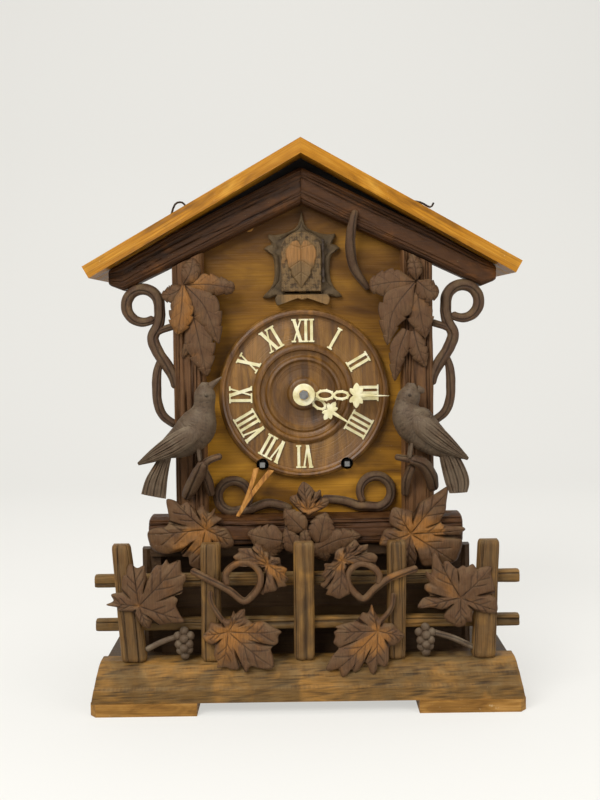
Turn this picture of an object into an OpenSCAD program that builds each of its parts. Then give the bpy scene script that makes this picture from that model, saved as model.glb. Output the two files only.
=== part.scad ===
// Carved cuckoo mantel clock: case, carvings, dial, cuckoo works and spring movement.
// Front faces -Y, +Z is up, the origin is under the middle of the footprint.

/* [Base] */
// Depth over the two foot runners, front to back
base_d = 194; // [190:1:200]
// Thickness of the foot runners
foot_h = 10; // [8:0.5:10]
// Height of the carved log above the feet
log_h = 31; // [29:0.5:31]

/* [Case] */
// Outside width of the case over its side boards
case_w = 208; // [206:1:210]
// Thickness of the case boards
board = 8; // [7:0.5:8]
// Height of the roof ridge
ridge_z = 466; // [464:1:472]
// Slope of the roof in degrees
roof_slope = 29.5; // [28:0.5:30]
// Thickness of the roof boards
roof_t = 11; // [10:0.5:13]
// Half width of the roof, ridge to eave
eave_x = 180; // [176:1:184]

/* [Dial] */
// Outside radius of the turned dial
dial_r = 72; // [71:0.5:73]
// Radius of the winding holes
wind_r = 5.5; // [5:0.1:5.8]
// Clockwise turn of the minute hand from twelve, in degrees
minute_angle = 93; // [0:1:359]

/* [Cuckoo] */
// Travel of the cuckoo out of its doorway
cuckoo_travel = 34; // [28:1:34]

/* [Hidden] */
$fn = 48;

// case, front to back and bottom to top
front_y = -base_d / 2;
back_y = base_d / 2;
log_top = foot_h + log_h;
box_top = log_top - 3;
plinth_x = 131;
plinth_top = 129;
face_y = -32;                       // front face of the board that carries the dial
face_back = face_y + board;
case_back = 74;                     // inner face of the back board
inner_x = case_w / 2 - board;
ridge_under = ridge_z - roof_t / cos(roof_slope);
roof_front = -62;
roof_back = 84;
cross_top = 154;
cross_front = -60;
column_x = 96;
column_w = 27;
carved_y = -48;                     // front of the rafters and columns
seat_top = 150;
door_half = 70;                     // half width of the opening in the back board
door_low = 164;
door_high = 372;

// fence
rail_back = -68;
rail_front = -76;
post_front = -86;

// dial, hands and cuckoo doorway
centre = [0, 256];
wind_z = 196;
wind_x = 36;
pipe_r = 4.2;
arbor_r = 3;
doorway_half = 15;
doorway_low = 341;
doorway_arch = 376;
hinge_x = 17.6;
hinge_y = -41.5;

// clearance of a shaft that turns in its bore
run = 0.06;

// movement: depth of each wheel's layer, and the arbors' places in [x, z]
plate_x = 69;
plate_t = 2;
front_plate_y = -4;
back_plate_y = 42;
plate_top = 346;
going = [wind_x, wind_z];
strike = [-wind_x, wind_z];
barrel_teeth = 50;
barrel_pinion = 10;
barrel_mod = 1.2;
barrel_reach = barrel_mod * (barrel_teeth + barrel_pinion) / 2;
inter_teeth = 64;
centre_pinion = 8;
inter_mod = 1;
inter_reach = inter_mod * (inter_teeth + centre_pinion) / 2;
train_teeth = 72;
train_pinion = 6;
centre_mod = 0.7;
third_mod = 0.6;
third_reach = centre_mod * (train_teeth + train_pinion) / 2;
escape_reach = third_mod * (train_teeth + train_pinion) / 2;
escape_teeth = 36;
escape_r = 14.6;
cannon_teeth = 14;
minute_teeth = 42;
minute_mod = 0.75;
minute_pinion = 12;
hour_teeth = 48;
hour_mod = 0.7;
minute_reach = minute_mod * (cannon_teeth + minute_teeth) / 2;
pin_teeth = 60;
fly_pinion = 6;
pin_mod = 0.8;
fly_reach = pin_mod * (pin_teeth + fly_pinion) / 2;
escape = [0, 292];
pallet_axis = [0, 314];
swing_axis = [0, 322];
inter = meet(going, barrel_reach, centre, inter_reach, -1);
third = meet(centre, third_reach, escape, escape_reach, 1);
pin_axis = strike + barrel_reach * heading(100);
fly_axis = pin_axis + fly_reach * heading(125);
minute_axis = centre + minute_reach * heading(215);
hammer_axis = [4.9, 338];

dark_wood = "#4f3526";
mid_wood = "#6b4a32";
honey_wood = "#9c6a1e";
leaf_wood = "#7a5334";
bone = "#e3d9b0";
brass = "#b4924a";
steel = "#8d8d8a";

function unit(v) = v / norm(v);
function heading(a) = [cos(a), sin(a)];
function bearing(a, b) = atan2(b[1] - a[1], b[0] - a[0]);
function under_roof(x) = ridge_under - abs(x) * tan(roof_slope);

// The point at distances ra from a and rb from b, on the chosen side of the line a to b
function meet(a, ra, b, rb, side) = let(
    d = norm(b - a),
    along = (ra * ra - rb * rb + d * d) / (2 * d),
    off = sqrt(ra * ra - along * along),
    u = (b - a) / d)
    a + along * u + side * off * [-u[1], u[0]];

// A curve through points chosen by hand, with a number of steps between each two
function catmull(a, b, c, d, t) = 0.5 * (2 * b + (c - a) * t
    + (2 * a - 5 * b + 4 * c - d) * t * t + (3 * b - a - 3 * c + d) * t * t * t);
function smooth(p, steps) = [
    for (i = [0:len(p) - 2], s = [0:steps - 1])
        catmull(p[max(i - 1, 0)], p[i], p[i + 1], p[min(i + 2, len(p) - 1)], s / steps),
    p[len(p) - 1]];

// Points of an arc in the XZ plane at depth y
function arc(c, r, from, to, y, n) =
    [for (i = [0:n]) let(a = from + (to - from) * i / n) [c[0] + r * cos(a), y, c[1] + r * sin(a)]];

function oval(x, a, b, n = 20) = [for (k = [0:n - 1]) [x + a * cos(360 * k / n), b * sin(360 * k / n)]];

// Turns a drawing in XZ into a slab that reaches from y0 back to y1
module slab(y0, y1) {
    translate([0, y1, 0]) rotate([90, 0, 0]) linear_extrude(y1 - y0) children();
}

module box(low, high) {
    translate(low) cube(high - low);
}

module both_sides() {
    children();
    mirror([1, 0, 0]) children();
}

// A round bar along Y at p = [x, z]
module bar(p, y0, y1, r) {
    translate([p[0], y1, p[1]]) rotate([90, 0, 0]) cylinder(r = r, h = y1 - y0);
}

// Closes a stack of rings, each counted anticlockwise about the way the stack runs
module loft(rings) {
    n = len(rings[0]);
    last = len(rings) - 1;
    polyhedron(
        points = [for (r = rings) each r],
        faces = [
            [for (k = [0:n - 1]) k],
            for (i = [0:last - 1], k = [0:n - 1]) let(a = i * n + k, b = i * n + (k + 1) % n)
                each [[a, a + n, b + n], [a, b + n, b]],
            [for (k = [n - 1:-1:0]) last * n + k]],
        convexity = 10);
}

// One ring of a stem; r is a radius or [in the XZ plane, along Y]
function ring(c, t, r, n) = let(
    side = unit(cross(t, [0, 1, 0])),
    up = cross(unit(t), side),
    a = is_list(r) ? r : [r, r])
    [for (k = [0:n - 1]) let(w = 360 * (k + 0.5) / n) c + a[0] * cos(w) * side + a[1] * sin(w) * up];

// A stem, limb or body along a path, with one radius or one for each point
module stem(path, radius, n = 8) {
    last = len(path) - 1;
    loft([for (i = [0:last])
        ring(path[i], path[min(i + 1, last)] - path[max(i - 1, 0)],
            is_list(radius) ? radius[i] : radius, n)]);
}

// One ring of hewn bark: flat at the back, rounded and grooved at the front
function bark_ring(c, across, w, d, seed) = [for (k = [0:8]) let(
    a = 22.5 * k,
    x = sign(cos(a)) * pow(abs(cos(a)), 0.6) * w / 2,
    ridge = k % 2 == 0 ? 0 : 0.07 + 0.05 * sin(150 * seed + 70 * k),
    y = pow(sin(a), 0.35) * d * (1 - (k > 0 && k < 8 ? ridge : 0)))
    c + across * x + [0, -y, 0]];

// A carved stick between two points; across x depth must run along the stick
module bark(a, b, across, w0, w1, d, steps) {
    loft([for (i = [0:steps]) let(t = i / steps, wave = 0.96 + 0.04 * sin(310 * i + 40))
        bark_ring(a + (b - a) * t, across, (w0 + (w1 - w0) * t) * (i == 0 || i == steps ? 0.96 : wave),
            d, i)]);
}

// The edge of a vine leaf; each lobe is [direction, length, half angle of its base]
function leaf_edge(lobes) = [for (i = [0:len(lobes) - 1]) let(
    a = lobes[i][0], r = lobes[i][1],
    next = lobes[(i + 1) % len(lobes)],
    before = lobes[(i + len(lobes) - 1) % len(lobes)],
    gap = (next[0] - a + 360) % 360,
    low = min(1.5 * lobes[i][2], 0.42 * ((a - before[0] + 360) % 360)),
    high = min(1.5 * lobes[i][2], 0.42 * gap))
    each [[a - low, 0.76 * r, 1], [a - 0.6 * low, 0.86 * r, 1], [a, r, 0.72],
        [a + 0.6 * high, 0.86 * r, 1], [a + high, 0.76 * r, 1],
        [a + gap / 2, 0.7 * min(r, next[1]), 0.6]]];

// A carved leaf at c: a wall round its edge, lobes that rise to a crest, a dished middle and a
// back that is a little hollow
leaf_crest = 0.62;
module leaf(c, lobes, t) {
    edge = leaf_edge(lobes);
    n = len(edge);
    rim = [for (layer = [[1, 0, 0], [1, 0.3, 0], [leaf_crest, 0.3, 0.7]], p = edge)
        [p[1] * layer[0] * cos(p[0]), -t * (layer[1] + layer[2] * p[2]), p[1] * layer[0] * sin(p[0])]];
    translate(c) polyhedron(
        points = concat(rim, [[0, -0.04 * t, 0], [0, -0.7 * t, 0]]),
        faces = [for (i = [0:n - 1]) let(j = (i + 1) % n) each [
            [3 * n, i, j],
            [i, n + j, j], [i, n + i, n + j],
            [n + i, 2 * n + j, n + j], [n + i, 2 * n + i, 2 * n + j],
            [2 * n + i, 3 * n + 1, 2 * n + j]]]);
}

// Flat form of the same leaf, for the hands
module leaf_shape(x, lobes) {
    polygon([for (p = leaf_edge(lobes)) [x + p[1] * cos(p[0]), p[1] * sin(p[0])]]);
}

// A wheel's outline with straight-sided teeth, one of them at the angle phase
function tooth_points(n, mod, phase) = let(
    r = mod * n / 2,
    half = 90 / n * 0.84,
    tip = max(half - atan(0.29 * mod / r), half * 0.4))
    [for (k = [0:n - 1], p = [[-1.15, -half], [0.8, -tip], [0.8, tip], [-1.15, half]])
        (r + p[0] * mod) * heading(phase + 360 * k / n + p[1])];

// Phase of a wheel b that meshes with a wheel a turned to phase_a
function mesh_phase(a, b, phase_a, na, nb) =
    let(t = bearing(a, b)) t + 180 - 180 / nb + (t - phase_a) * na / nb;

module gear(p, y0, y1, n, mod, phase) {
    slab(y0, y1) translate(p) polygon(tooth_points(n, mod, phase));
}

// An arbor between the plates with a thinner pivot at each end
module arbor(p, r, pivot) {
    bar(p, front_plate_y + plate_t + 0.2, back_plate_y - 0.2, r);
    bar(p, front_plate_y, front_plate_y + plate_t + 0.2, pivot);
    bar(p, back_plate_y - 0.2, back_plate_y + plate_t, pivot);
}

phase_centre = 0;
phase_inter = mesh_phase(centre, inter, 0, centre_pinion, inter_teeth);
phase_barrel = mesh_phase(inter, going, 0, barrel_pinion, barrel_teeth);
phase_third = mesh_phase(centre, third, 0, train_teeth, train_pinion);
phase_escape = mesh_phase(third, escape, 0, train_teeth, train_pinion);
phase_minute = mesh_phase(centre, minute_axis, 0, cannon_teeth, minute_teeth);
phase_hour = mesh_phase(minute_axis, centre, 0, minute_pinion, hour_teeth);
phase_pin = mesh_phase(strike, pin_axis, 0, barrel_teeth, barrel_pinion);
phase_fly = mesh_phase(pin_axis, fly_axis, 0, pin_teeth, fly_pinion);

// Base and case

// Two boards, each with its outer front corner worn away
module feet() color(honey_wood) both_sides() linear_extrude(foot_h)
    polygon([[90, front_y], [172, front_y], [177, front_y + 6], [177, back_y], [90, back_y]]);

module base_box() color(mid_wood) difference() {
    box([-168, -66, foot_h], [168, back_y, box_top]);
    box([-156, -54, foot_h - 1], [156, back_y - 12, box_top - 10]);
}

// Steps of the bark from the top of the log down its front, [y, share of its height]
log_steps = [[-66, 1], [-80, 1], [-86.5, 0.92], [-88.5, 0.77], [-91.5, 0.68], [-93, 0.42], [-95, 0.35],
    [-95, 0], [-66, 0]];

module base_log() color(mid_wood) {
    pitch = 16;
    count = 22;
    loft([for (i = [0:count]) let(x = (i - count / 2) * pitch)
        [for (k = [0:8]) let(
            p = log_steps[k],
            wave = k > 1 && k < 6 ? 1.1 * sin(47 * i + 80 * k) : 0,
            z = p[1] * log_h + (k > 2 ? wave : 0))
            [x * (1 - 0.035 * z / log_h), p[0] + wave * 0.4, foot_h + z]]]);
}

module plinth() color(dark_wood) {
    both_sides() {
        box([plinth_x - board, -46, box_top], [plinth_x, 78, plinth_top - board]);
        bark([plinth_x + 5, -26, box_top], [plinth_x + 5, -26, plinth_top - 4], [-1, 0, 0], 10, 9, 12, 6);
    }
    box([-plinth_x, -50, plinth_top - board], [plinth_x, 80, plinth_top]);
    box([board - plinth_x, 72, box_top], [plinth_x - board, 78, plinth_top - board]);
    // back of the niche, its sill and the panel under it
    box([board - plinth_x, -12, 67], [plinth_x - board, -6, plinth_top - board]);
    box([board - plinth_x, -58, 61], [plinth_x - board, -6, 67]);
    box([board - plinth_x, -52, box_top], [plinth_x - board, -44, 61]);
}

module cross_log() color(dark_wood)
    bark([-plinth_x, face_y, (plinth_top + cross_top) / 2], [plinth_x, face_y, (plinth_top + cross_top) / 2],
        [0, 0, 1], cross_top - plinth_top, cross_top - plinth_top, face_y - cross_front, 16);

module seat_board() color(honey_wood)
    box([-inner_x, face_back, seat_top - board], [inner_x, case_back, seat_top]);

module doorway() {
    translate([0, doorway_arch]) circle(doorway_half);
    translate([-doorway_half, doorway_low]) square([2 * doorway_half, doorway_arch - doorway_low]);
}

// Outline of the case under the roof, from the plinth to the ridge
module gable(x) {
    polygon([[-x, plinth_top], [x, plinth_top], [x, under_roof(x)], [0, ridge_under], [-x, under_roof(x)]]);
}

module front_board() color(honey_wood) difference() {
    slab(face_y, face_back) difference() {
        gable(case_w / 2);
        doorway();
    }
    bar(centre, face_y - 1, face_back + 1, 8);
    for (p = [going, strike]) bar(p, face_y - 1, face_back + 1, wind_r);
}

module sides() color(honey_wood) both_sides() slab(face_back, case_back)
    polygon([[inner_x, plinth_top], [case_w / 2, plinth_top], [case_w / 2, under_roof(case_w / 2)],
        [inner_x, under_roof(inner_x)]]);

door_axis = [-door_half - 1.6, case_back + 8.4];
hinge_heights = [200, 336];

module back_board() color(honey_wood) {
    slab(case_back, case_back + 6) difference() {
        gable(case_w / 2);
        translate([-door_half, door_low]) square([2 * door_half, door_high - door_low]);
    }
    // hinge leaves with their pins
    color(brass) for (z = hinge_heights) {
        box([door_axis[0] - 9, case_back + 6, z - 8], [door_axis[0] - 2.6, case_back + 7.2, z + 8]);
        for (s = [-8, 5.2])
            box([door_axis[0] - 3, case_back + 6, z + s], [door_axis[0] + 1, case_back + 9.4, z + s + 2.8]);
        translate([door_axis[0], door_axis[1], z - 6]) cylinder(r = 0.8, h = 12);
    }
    // stub that the turn button is screwed to
    bar([door_half + 7, 268], case_back + 5, case_back + 10, 1.5);
}

module back_door() color(honey_wood) {
    difference() {
        box([0.6 - door_half, case_back, door_low + 0.6], [door_half - 0.6, case_back + 6, door_high - 0.6]);
        // slots that let the sound out
        for (x = [-24:12:24])
            box([x - 1.6, case_back - 1, 300], [x + 1.6, case_back + 7, 350]);
    }
    bar([door_half - 14, 268], case_back + 6, case_back + 12, 3);
    bar([door_half - 14, 268], case_back + 10, case_back + 15, 5.5);
    color(brass) for (z = hinge_heights) difference() {
        union() {
            translate([door_axis[0], door_axis[1], z - 4.9]) cylinder(r = 1.9, h = 9.8);
            box([door_axis[0], door_axis[1] - 1.9, z - 4.9], [-door_half + 4, door_axis[1] - 0.7, z + 4.9]);
            box([1 - door_half, case_back + 5.9, z - 4.9], [12 - door_half, door_axis[1] - 0.7, z + 4.9]);
        }
        translate([door_axis[0], door_axis[1], z - 6]) cylinder(r = 0.8 + run, h = 12);
    }
}

module door_button() color(dark_wood) difference() {
    union() {
        box([door_half + 3.5, case_back + 6.4, 254], [door_half + 10.5, case_back + 9.4, 282]);
        bar([door_half + 7, 268], case_back + 6.4, case_back + 10, 4.5);
    }
    bar([door_half + 7, 268], case_back + 5, case_back + 11, 1.5 + run);
}

module roof_board() {
    slab(roof_front, roof_back) polygon([[0, ridge_z], [0, ridge_under],
        [eave_x - roof_t * sin(roof_slope), ridge_z - eave_x * tan(roof_slope) - roof_t * cos(roof_slope)],
        [eave_x, ridge_z - eave_x * tan(roof_slope)]]);
}

module roof_left() color(honey_wood) mirror([1, 0, 0]) roof_board();

module roof_right() color(honey_wood) roof_board();

// Upper and lower line of the rafters, which leave a gap under the middle of the roof
function rafter_top(x) = min(449.6 - 0.535 * abs(x), under_roof(x) - 0.3);
function rafter_low(x) = 414.6 - 0.47 * abs(x);
rafter_x = 161;
rafter_nose = 13;

// Two lengths of bark that meet under the ridge, with blunt ends
module rafters() color(dark_wood) {
    steps = 14;
    both_sides() mirror([1, 0, 0]) loft([for (i = [0:steps]) let(
        x = -rafter_x * (1 - i / steps),
        low = i == 0 ? rafter_top(x) - rafter_nose : rafter_low(x),
        h = rafter_top(x) - low)
        bark_ring([x, face_y, low + h / 2], [0, 0, 1], h, face_y - carved_y, i)]);
}

module columns() color(dark_wood) both_sides() difference() {
    bark([column_x, face_y, cross_top], [column_x, face_y, 378], [-1, 0, 0], column_w, column_w,
        face_y - carved_y, 14);
    // cut to the slope of the rafter above it
    slab(carved_y - 2, face_y + 1) translate([0, -0.3])
        polygon([[70, rafter_low(70)], [130, rafter_low(130)], [130, 420], [70, 420]]);
}

// Dial, numerals, hands

module dial() color(mid_wood) difference() {
    translate([centre[0], face_y, centre[1]]) rotate([90, 0, 0]) rotate_extrude() polygon([[4.7, 0],
        [dial_r, 0], [dial_r, 5], [dial_r - 1.4, 8.4], [dial_r - 3.4, 9.8], [dial_r - 5, 9.2],
        [dial_r - 5.8, 6.2], [dial_r - 8, 5], [43, 5], [41.5, 7], [39.5, 8.6], [37.5, 8.2],
        [36.4, 5.4], [33, 4.2], [31, 6], [29, 6.4], [27, 4.6], [21, 3.4], [14.5, 3.2], [13, 5.4],
        [11, 6.6], [4.7, 6.8]]);
    for (p = [going, strike]) bar(p, face_y - 12, face_y + 1, wind_r);
}

// Strokes of the numerals, each as high as the band and centred on x
numeral_h = 19.5;
module stroke(x, w) {
    translate([x - w / 2, 0]) square([w, numeral_h]);
    for (z = [0, numeral_h - 1.3]) translate([x - w / 2 - 1, z]) square([w + 2, 1.3]);
}
module slanted(x0, x1, w) {
    polygon([[x0 - w / 2, 0], [x0 + w / 2, 0], [x1 + w / 2, numeral_h], [x1 - w / 2, numeral_h]]);
}
module numeral_i(x) stroke(x, 2.4);
module numeral_v(x) {
    slanted(x, x - 3, 2.8);
    slanted(x, x + 3, 1.4);
    for (s = [-3, 3]) translate([x + s - 1.9, numeral_h - 1.3]) square([3.8, 1.3]);
}
module numeral_x(x) {
    slanted(x + 3, x - 3, 2.8);
    slanted(x - 3, x + 3, 1.3);
    for (s = [-3, 3], z = [0, numeral_h - 1.3]) translate([x + s - 1.9, z]) square([3.8, 1.3]);
}

// Places of the strokes for one hour, [kind, x]
function numeral_strokes(hour) =
    hour == 1 ? [["i", 0]] :
    hour == 2 ? [["i", -2.5], ["i", 2.5]] :
    hour == 3 ? [["i", -4.8], ["i", 0], ["i", 4.8]] :
    hour == 4 ? [["i", -7.2], ["i", -2.4], ["i", 2.4], ["i", 7.2]] :
    hour == 6 ? [["v", -2.4], ["i", 5]] :
    hour == 7 ? [["v", -4.8], ["i", 2.6], ["i", 7.4]] :
    hour == 8 ? [["v", -7], ["i", 0.3], ["i", 5], ["i", 9.7]] :
    hour == 9 ? [["i", -5], ["x", 2.2]] :
    hour == 10 ? [["x", 0]] :
    hour == 11 ? [["x", -2.2], ["i", 5]] :
    [["x", -4.8], ["i", 2.4], ["i", 7.2]];

// The numeral for five is lost on this clock
module numerals() color(bone) for (hour = [1, 2, 3, 4, 6, 7, 8, 9, 10, 11, 12])
    slab(face_y - 6.4, face_y - 5) translate(centre) rotate(-30 * hour) translate([0, 43.6])
        for (s = numeral_strokes(hour)) {
            if (s[0] == "i") numeral_i(s[1]);
            if (s[0] == "v") numeral_v(s[1]);
            if (s[0] == "x") numeral_x(s[1]);
        }

hand_leaf = [[0, 8, 16], [50, 6.6, 20], [110, 5.4, 20], [180, 3, 20], [250, 5.4, 20], [310, 6.6, 20]];

module minute_hand() color(bone) slab(-51.4, -50.3) translate(centre) rotate(90 - minute_angle)
    difference() {
        union() {
            circle(9.3);
            polygon(oval(17.6, 8.6, 5.2));
            polygon(oval(32, 7.6, 4.6));
            leaf_shape(46, hand_leaf);
            polygon([[38, -1.6], [52, -1.5], [70, -0.5], [70, 0.5], [52, 1.5], [38, 1.6]]);
        }
        circle(arbor_r);
        polygon(oval(17.8, 4.6, 2.4));
        polygon(oval(32, 4.2, 2));
    }

module hour_hand() color(bone) slab(-47.6, -46.5) translate(centre)
    rotate(90 - 120 - minute_angle / 12) difference() {
        union() {
            circle(8);
            polygon(oval(14.4, 7.6, 4.8));
            polygon(oval(25.4, 5.6, 3.8));
            leaf_shape(35, hand_leaf);
            polygon([[29, -1.6], [38, -1.5], [52, -0.5], [52, 0.5], [38, 1.5], [29, 1.6]]);
        }
        circle(pipe_r);
        polygon(oval(14.8, 4, 2.2));
        polygon(oval(25.4, 2.8, 1.6));
    }

// Cuckoo doorway

module door_frame() color(dark_wood) {
    half = [[0, 414], [3.5, 402], [14, 396.5], [29, 389], [25, 381], [31, 380.5], [24, 371], [21.5, 361],
        [24, 351], [34, 338], [25, 340.2]];
    slab(face_y - 6, face_y) difference() {
        polygon(concat(half, [for (i = [len(half) - 1:-1:1]) [-half[i][0], half[i][1]]]));
        doorway();
    }
    // scrolled bracket under the door
    slab(face_y - 9, face_y) polygon([[-21, 339.6], [-23, 336], [-21.5, 331], [-18, 332], [-12, 336.2],
        [-6, 337], [0, 335], [6, 337], [12, 336.2], [18, 332], [21.5, 331], [23, 336], [21, 339.6]]);
    // wire hinge pin in its two eyes
    color(steel) {
        for (z = [349.2, 383]) box([hinge_x - 1.2, hinge_y - 1.2, z], [hinge_x + 1.2, face_y - 6, z + 2.4]);
        translate([hinge_x, hinge_y, 349.2]) cylinder(r = 0.6, h = 36.2);
    }
}

module cuckoo_door() color(leaf_wood) {
    left = -17.4;
    right = 15.9;
    mid = (left + right) / 2;
    arch = (right - left) / 2;
    slab(-42, -38.3) union() {
        translate([mid, 377]) circle(arch);
        translate([left, 342]) square([right - left, 35]);
    }
    // carved vine leaf on the door
    leaf([mid, -41.7, 371], [[30, 9, 18], [90, 11, 18], [150, 9, 18], [210, 8, 14], [245, 12, 10],
        [270, 20, 8], [295, 12, 10], [330, 8, 14]], 1.9);
    color(steel) for (z = [354, 376]) difference() {
        union() {
            translate([hinge_x, hinge_y, z]) cylinder(r = 1.2, h = 6);
            box([right - 1, hinge_y - 0.5, z], [hinge_x - 0.9, hinge_y + 0.7, z + 6]);
        }
        translate([hinge_x, hinge_y, z - 1]) cylinder(r = 0.6 + run, h = 8);
    }
}

// The cuckoo stands on a block that slides on the shelf's rail, behind its outer place by its travel
module cuckoo() color(leaf_wood) translate([0, cuckoo_travel - 34, 0]) {
    path = [[0, 24, 358], [0, 14, 361], [0, 4, 364], [0, -6, 367], [0, -13, 371.5], [0, -18, 375],
        [0, -23, 376], [0, -25.5, 375.6]];
    size = [[1.6, 5], [3.6, 5.6], [7, 7], [8, 7.4], [6.4, 6.2], [5.6, 5.6], [3.6, 3.6], [1.4, 1.4]];
    loft([for (i = [0:len(path) - 1]) [for (k = [0:9]) let(a = 36 * k)
        path[i] + [size[i][1] * cos(a), 0, size[i][0] * sin(a)]]]);
    // beak
    loft([for (s = [[-22, 2, 1.6], [-28, 0.5, 0.4]]) [for (k = [0:5]) let(a = 60 * k)
        [s[1] * cos(a), s[0], 375.4 + s[2] * sin(a)]]]);
    // leg and slide block
    translate([0, 2, 347]) cylinder(r = 1.8, h = 14);
    difference() {
        box([-7, -6, doorway_low + 0.25], [7, 16, 348]);
        box([-3.08, -7, doorway_low], [3.08, 17, doorway_low + 3.08]);
    }
}

module bird_shelf() color(honey_wood) {
    box([-40, face_back, doorway_low - 6], [40, 34, doorway_low]);
    box([-3, -31, doorway_low], [3, 34, doorway_low + 3]);
    for (x = [-36, 32])
        translate([x, 0, 0]) rotate([90, 0, 90]) linear_extrude(4)
            polygon([[face_back, doorway_low - 6], [face_back, doorway_low - 26],
                [face_back + 3, doorway_low - 26], [0, doorway_low - 6]]);
}

// Carvings on the case

module upper_leaves() color(leaf_wood) {
    leaf([-95.3, carved_y, 347.5], [[73, 23, 20], [140, 14, 18], [195, 22, 18], [233, 34, 13], [258, 48, 9],
        [284, 76, 7], [313, 46, 11], [355, 40, 14]], 8);
    leaf([93.3, carved_y, 346.7], [[20, 16, 14], [84, 22, 20], [140, 14, 16], [191, 37, 14], [222, 38, 10],
        [243, 54, 7], [260, 84, 5], [279, 66, 7], [303, 44, 9], [334, 25, 13]], 8);
}

// A curled tendril and a lower twig on each side of the case
module scrolls() color(dark_wood) {
    y = -41;
    both_sides() {
        stem(concat(arc([134, 331.5], 13.6, 258, 540, y, 15),
            smooth([[119.6, y, 324], [121.5, y, 315], [126, y, 304.5], [121.5, y, 292], [114.5, y, 281.5],
                [109.5, y, 272], [107, y, 262]], 2)),
            4.2, 6);
        stem(smooth([[119, y, 283], [123, y, 272], [123.5, y, 258], [120.5, y, 246], [114, y, 237.5],
            [107.5, y, 233]], 2), 3.5, 6);
    }
}

// A bird in profile for the right-hand side, looking towards the dial
module bird(beak) {
    y = -64;
    stem(smooth([[126, y, 190], [117, y, 206], [106, y, 218], [95, y, 229], [87, y, 240], [84.5, y, 251],
        [85.5, y, 259], [86.5, y, 267]], 2), smooth([[3, 4], [8.5, 8], [14, 12], [16.5, 13.5], [14.5, 12],
        [10, 9.4], [9.4, 8.6], [2, 2]], 2), 10);
    // folded wings, then the tail
    for (s = [-1, 1])
        stem([[91, y + 9 * s, 241], [103, y + 11 * s, 228], [119, y + 9 * s, 213], [134, y + 4 * s, 202]],
            [[7, 3], [11, 4], [7, 3], [1.4, 1.4]], 8);
    stem([[116, y, 206], [121, y, 192], [126, y, 174]], [[6, 3], [8, 2.4], [11, 1.6]], 8);
    if (beak) stem([[80, y, 259.5], [73, y, 264], [68, y, 267.5]], [[3.4, 3], [1.8, 1.8], [0.5, 0.5]], 6);
    for (s = [-5, 5])
        stem([[96, y + s, 220], [93, y + s, 203.5]], 1.5, 6);
}

module bird_left() color(leaf_wood) mirror([1, 0, 0]) bird(true);

module bird_right() color(leaf_wood) bird(false);

module perches() color(dark_wood) {
    both_sides() {
        stem(smooth([[98, carved_y + 1, 166], [92, -54, 180], [91, -64, 200], [88, -72, 204]], 3), 4);
        stem(smooth([[91, -60, 196], [80, -64, 201], [68, -64, 206]], 3), 2.8);
        stem(smooth([[92, -60, 196], [98, -64, 200], [104, -66, 207]], 3), 2.4);
    }
    stem(smooth([[84, carved_y + 1, 196], [94, -52, 184], [108, -54, 169]], 3), 3.2);
}

module vines() color(dark_wood) {
    y = face_y - 3.7;
    both_sides()
        stem(concat(arc([60, 172], 14.3, 160, -90, y, 16),
            smooth([[46, y, 158.6], [32, y, 163], [14, y, 166]], 3)), 4);
}

module lower_leaves() color(leaf_wood) {
    leaf([-84, cross_front, 146], [[10, 20, 14], [56, 24, 16], [100, 20, 12], [138, 38, 14], [184, 47, 13],
        [212, 42, 10], [250, 34, 14], [290, 26, 12], [328, 28, 14]], 8);
    leaf([85, cross_front, 140], [[5, 48, 11], [28, 34, 8], [50, 43, 10], [85, 24, 12], [120, 27, 14],
        [160, 18, 14], [199, 24, 14], [245, 24, 14], [292, 33, 14], [330, 44, 12]], 8);
}

module leaf_centre() color(leaf_wood)
    leaf([2, cross_front, 152], [[18, 26, 12], [50, 30, 12], [90, 33, 14], [130, 28, 14], [162, 26, 12],
        [190, 38, 10], [214, 40, 9], [240, 32, 9], [270, 30, 12], [300, 32, 9], [326, 40, 9],
        [350, 46, 9]], 8);

module gable_branch() color(dark_wood) {
    stem(smooth([[44.5, -50.5, 408], [41, -47, 392], [40.5, -43, 376], [44, -38, 360], [56, -35.6, 343]], 3),
        smooth([2.4, 4, 4.4, 4, 2.6], 3));
}

// Fence

// Feet and heads of the posts, [x at the log, x at the top, width below, width above]
post_list = [[-142, -151, 21, 15], [-79, -78, 16, 16], [-2.5, -2, 17, 17], [73, 74, 15, 16],
    [144.5, 149, 20, 17]];

module fence_posts() color(mid_wood) for (p = post_list)
    bark([p[0], rail_front, log_top], [p[1], rail_front, 138], [-1, 0, 0], p[2], p[3],
        rail_front - post_front, 7);

module fence_rails() color(mid_wood) for (z = [[111, 100.5], [74, 64]])
    bark([-174, rail_back, (z[0] + z[1]) / 2], [175, rail_back, (z[0] + z[1]) / 2], [0, 0, 1],
        z[0] - z[1], z[0] - z[1], rail_back - rail_front, 18);

module fence_leaves() color(leaf_wood) {
    leaf([-137.4, post_front, 88.5], [[29, 42, 9], [55, 44, 11], [101, 36, 16], [150, 20, 12], [180, 25, 12],
        [235, 16, 16], [294, 22, 14], [339, 39, 12]], 6);
    leaf([126, post_front, 92], [[40, 33, 10], [66, 24, 9], [92, 22, 10], [122, 41, 12], [152, 26, 10],
        [192, 34, 11], [228, 22, 12], [270, 22, 14], [310, 20, 12], [353, 29, 14]], 6);
    // the two low leaves lean out over the log
    translate([0, post_front, 90]) rotate([-6, 0, 0]) {
        leaf([-66.4, 0, -20], [[43, 21, 16], [80, 22, 12], [130, 12, 18], [199, 20, 18], [258, 32, 12],
            [295, 39, 11], [323, 48, 9], [354, 45, 11]], 5);
        leaf([57.4, 0, -22], [[60, 16, 16], [103, 19, 14], [145, 24, 12], [179, 37, 12], [217, 51, 10],
            [240, 40, 8], [264, 37, 9], [288, 30, 9], [343, 20, 18]], 5);
    }
}

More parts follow.
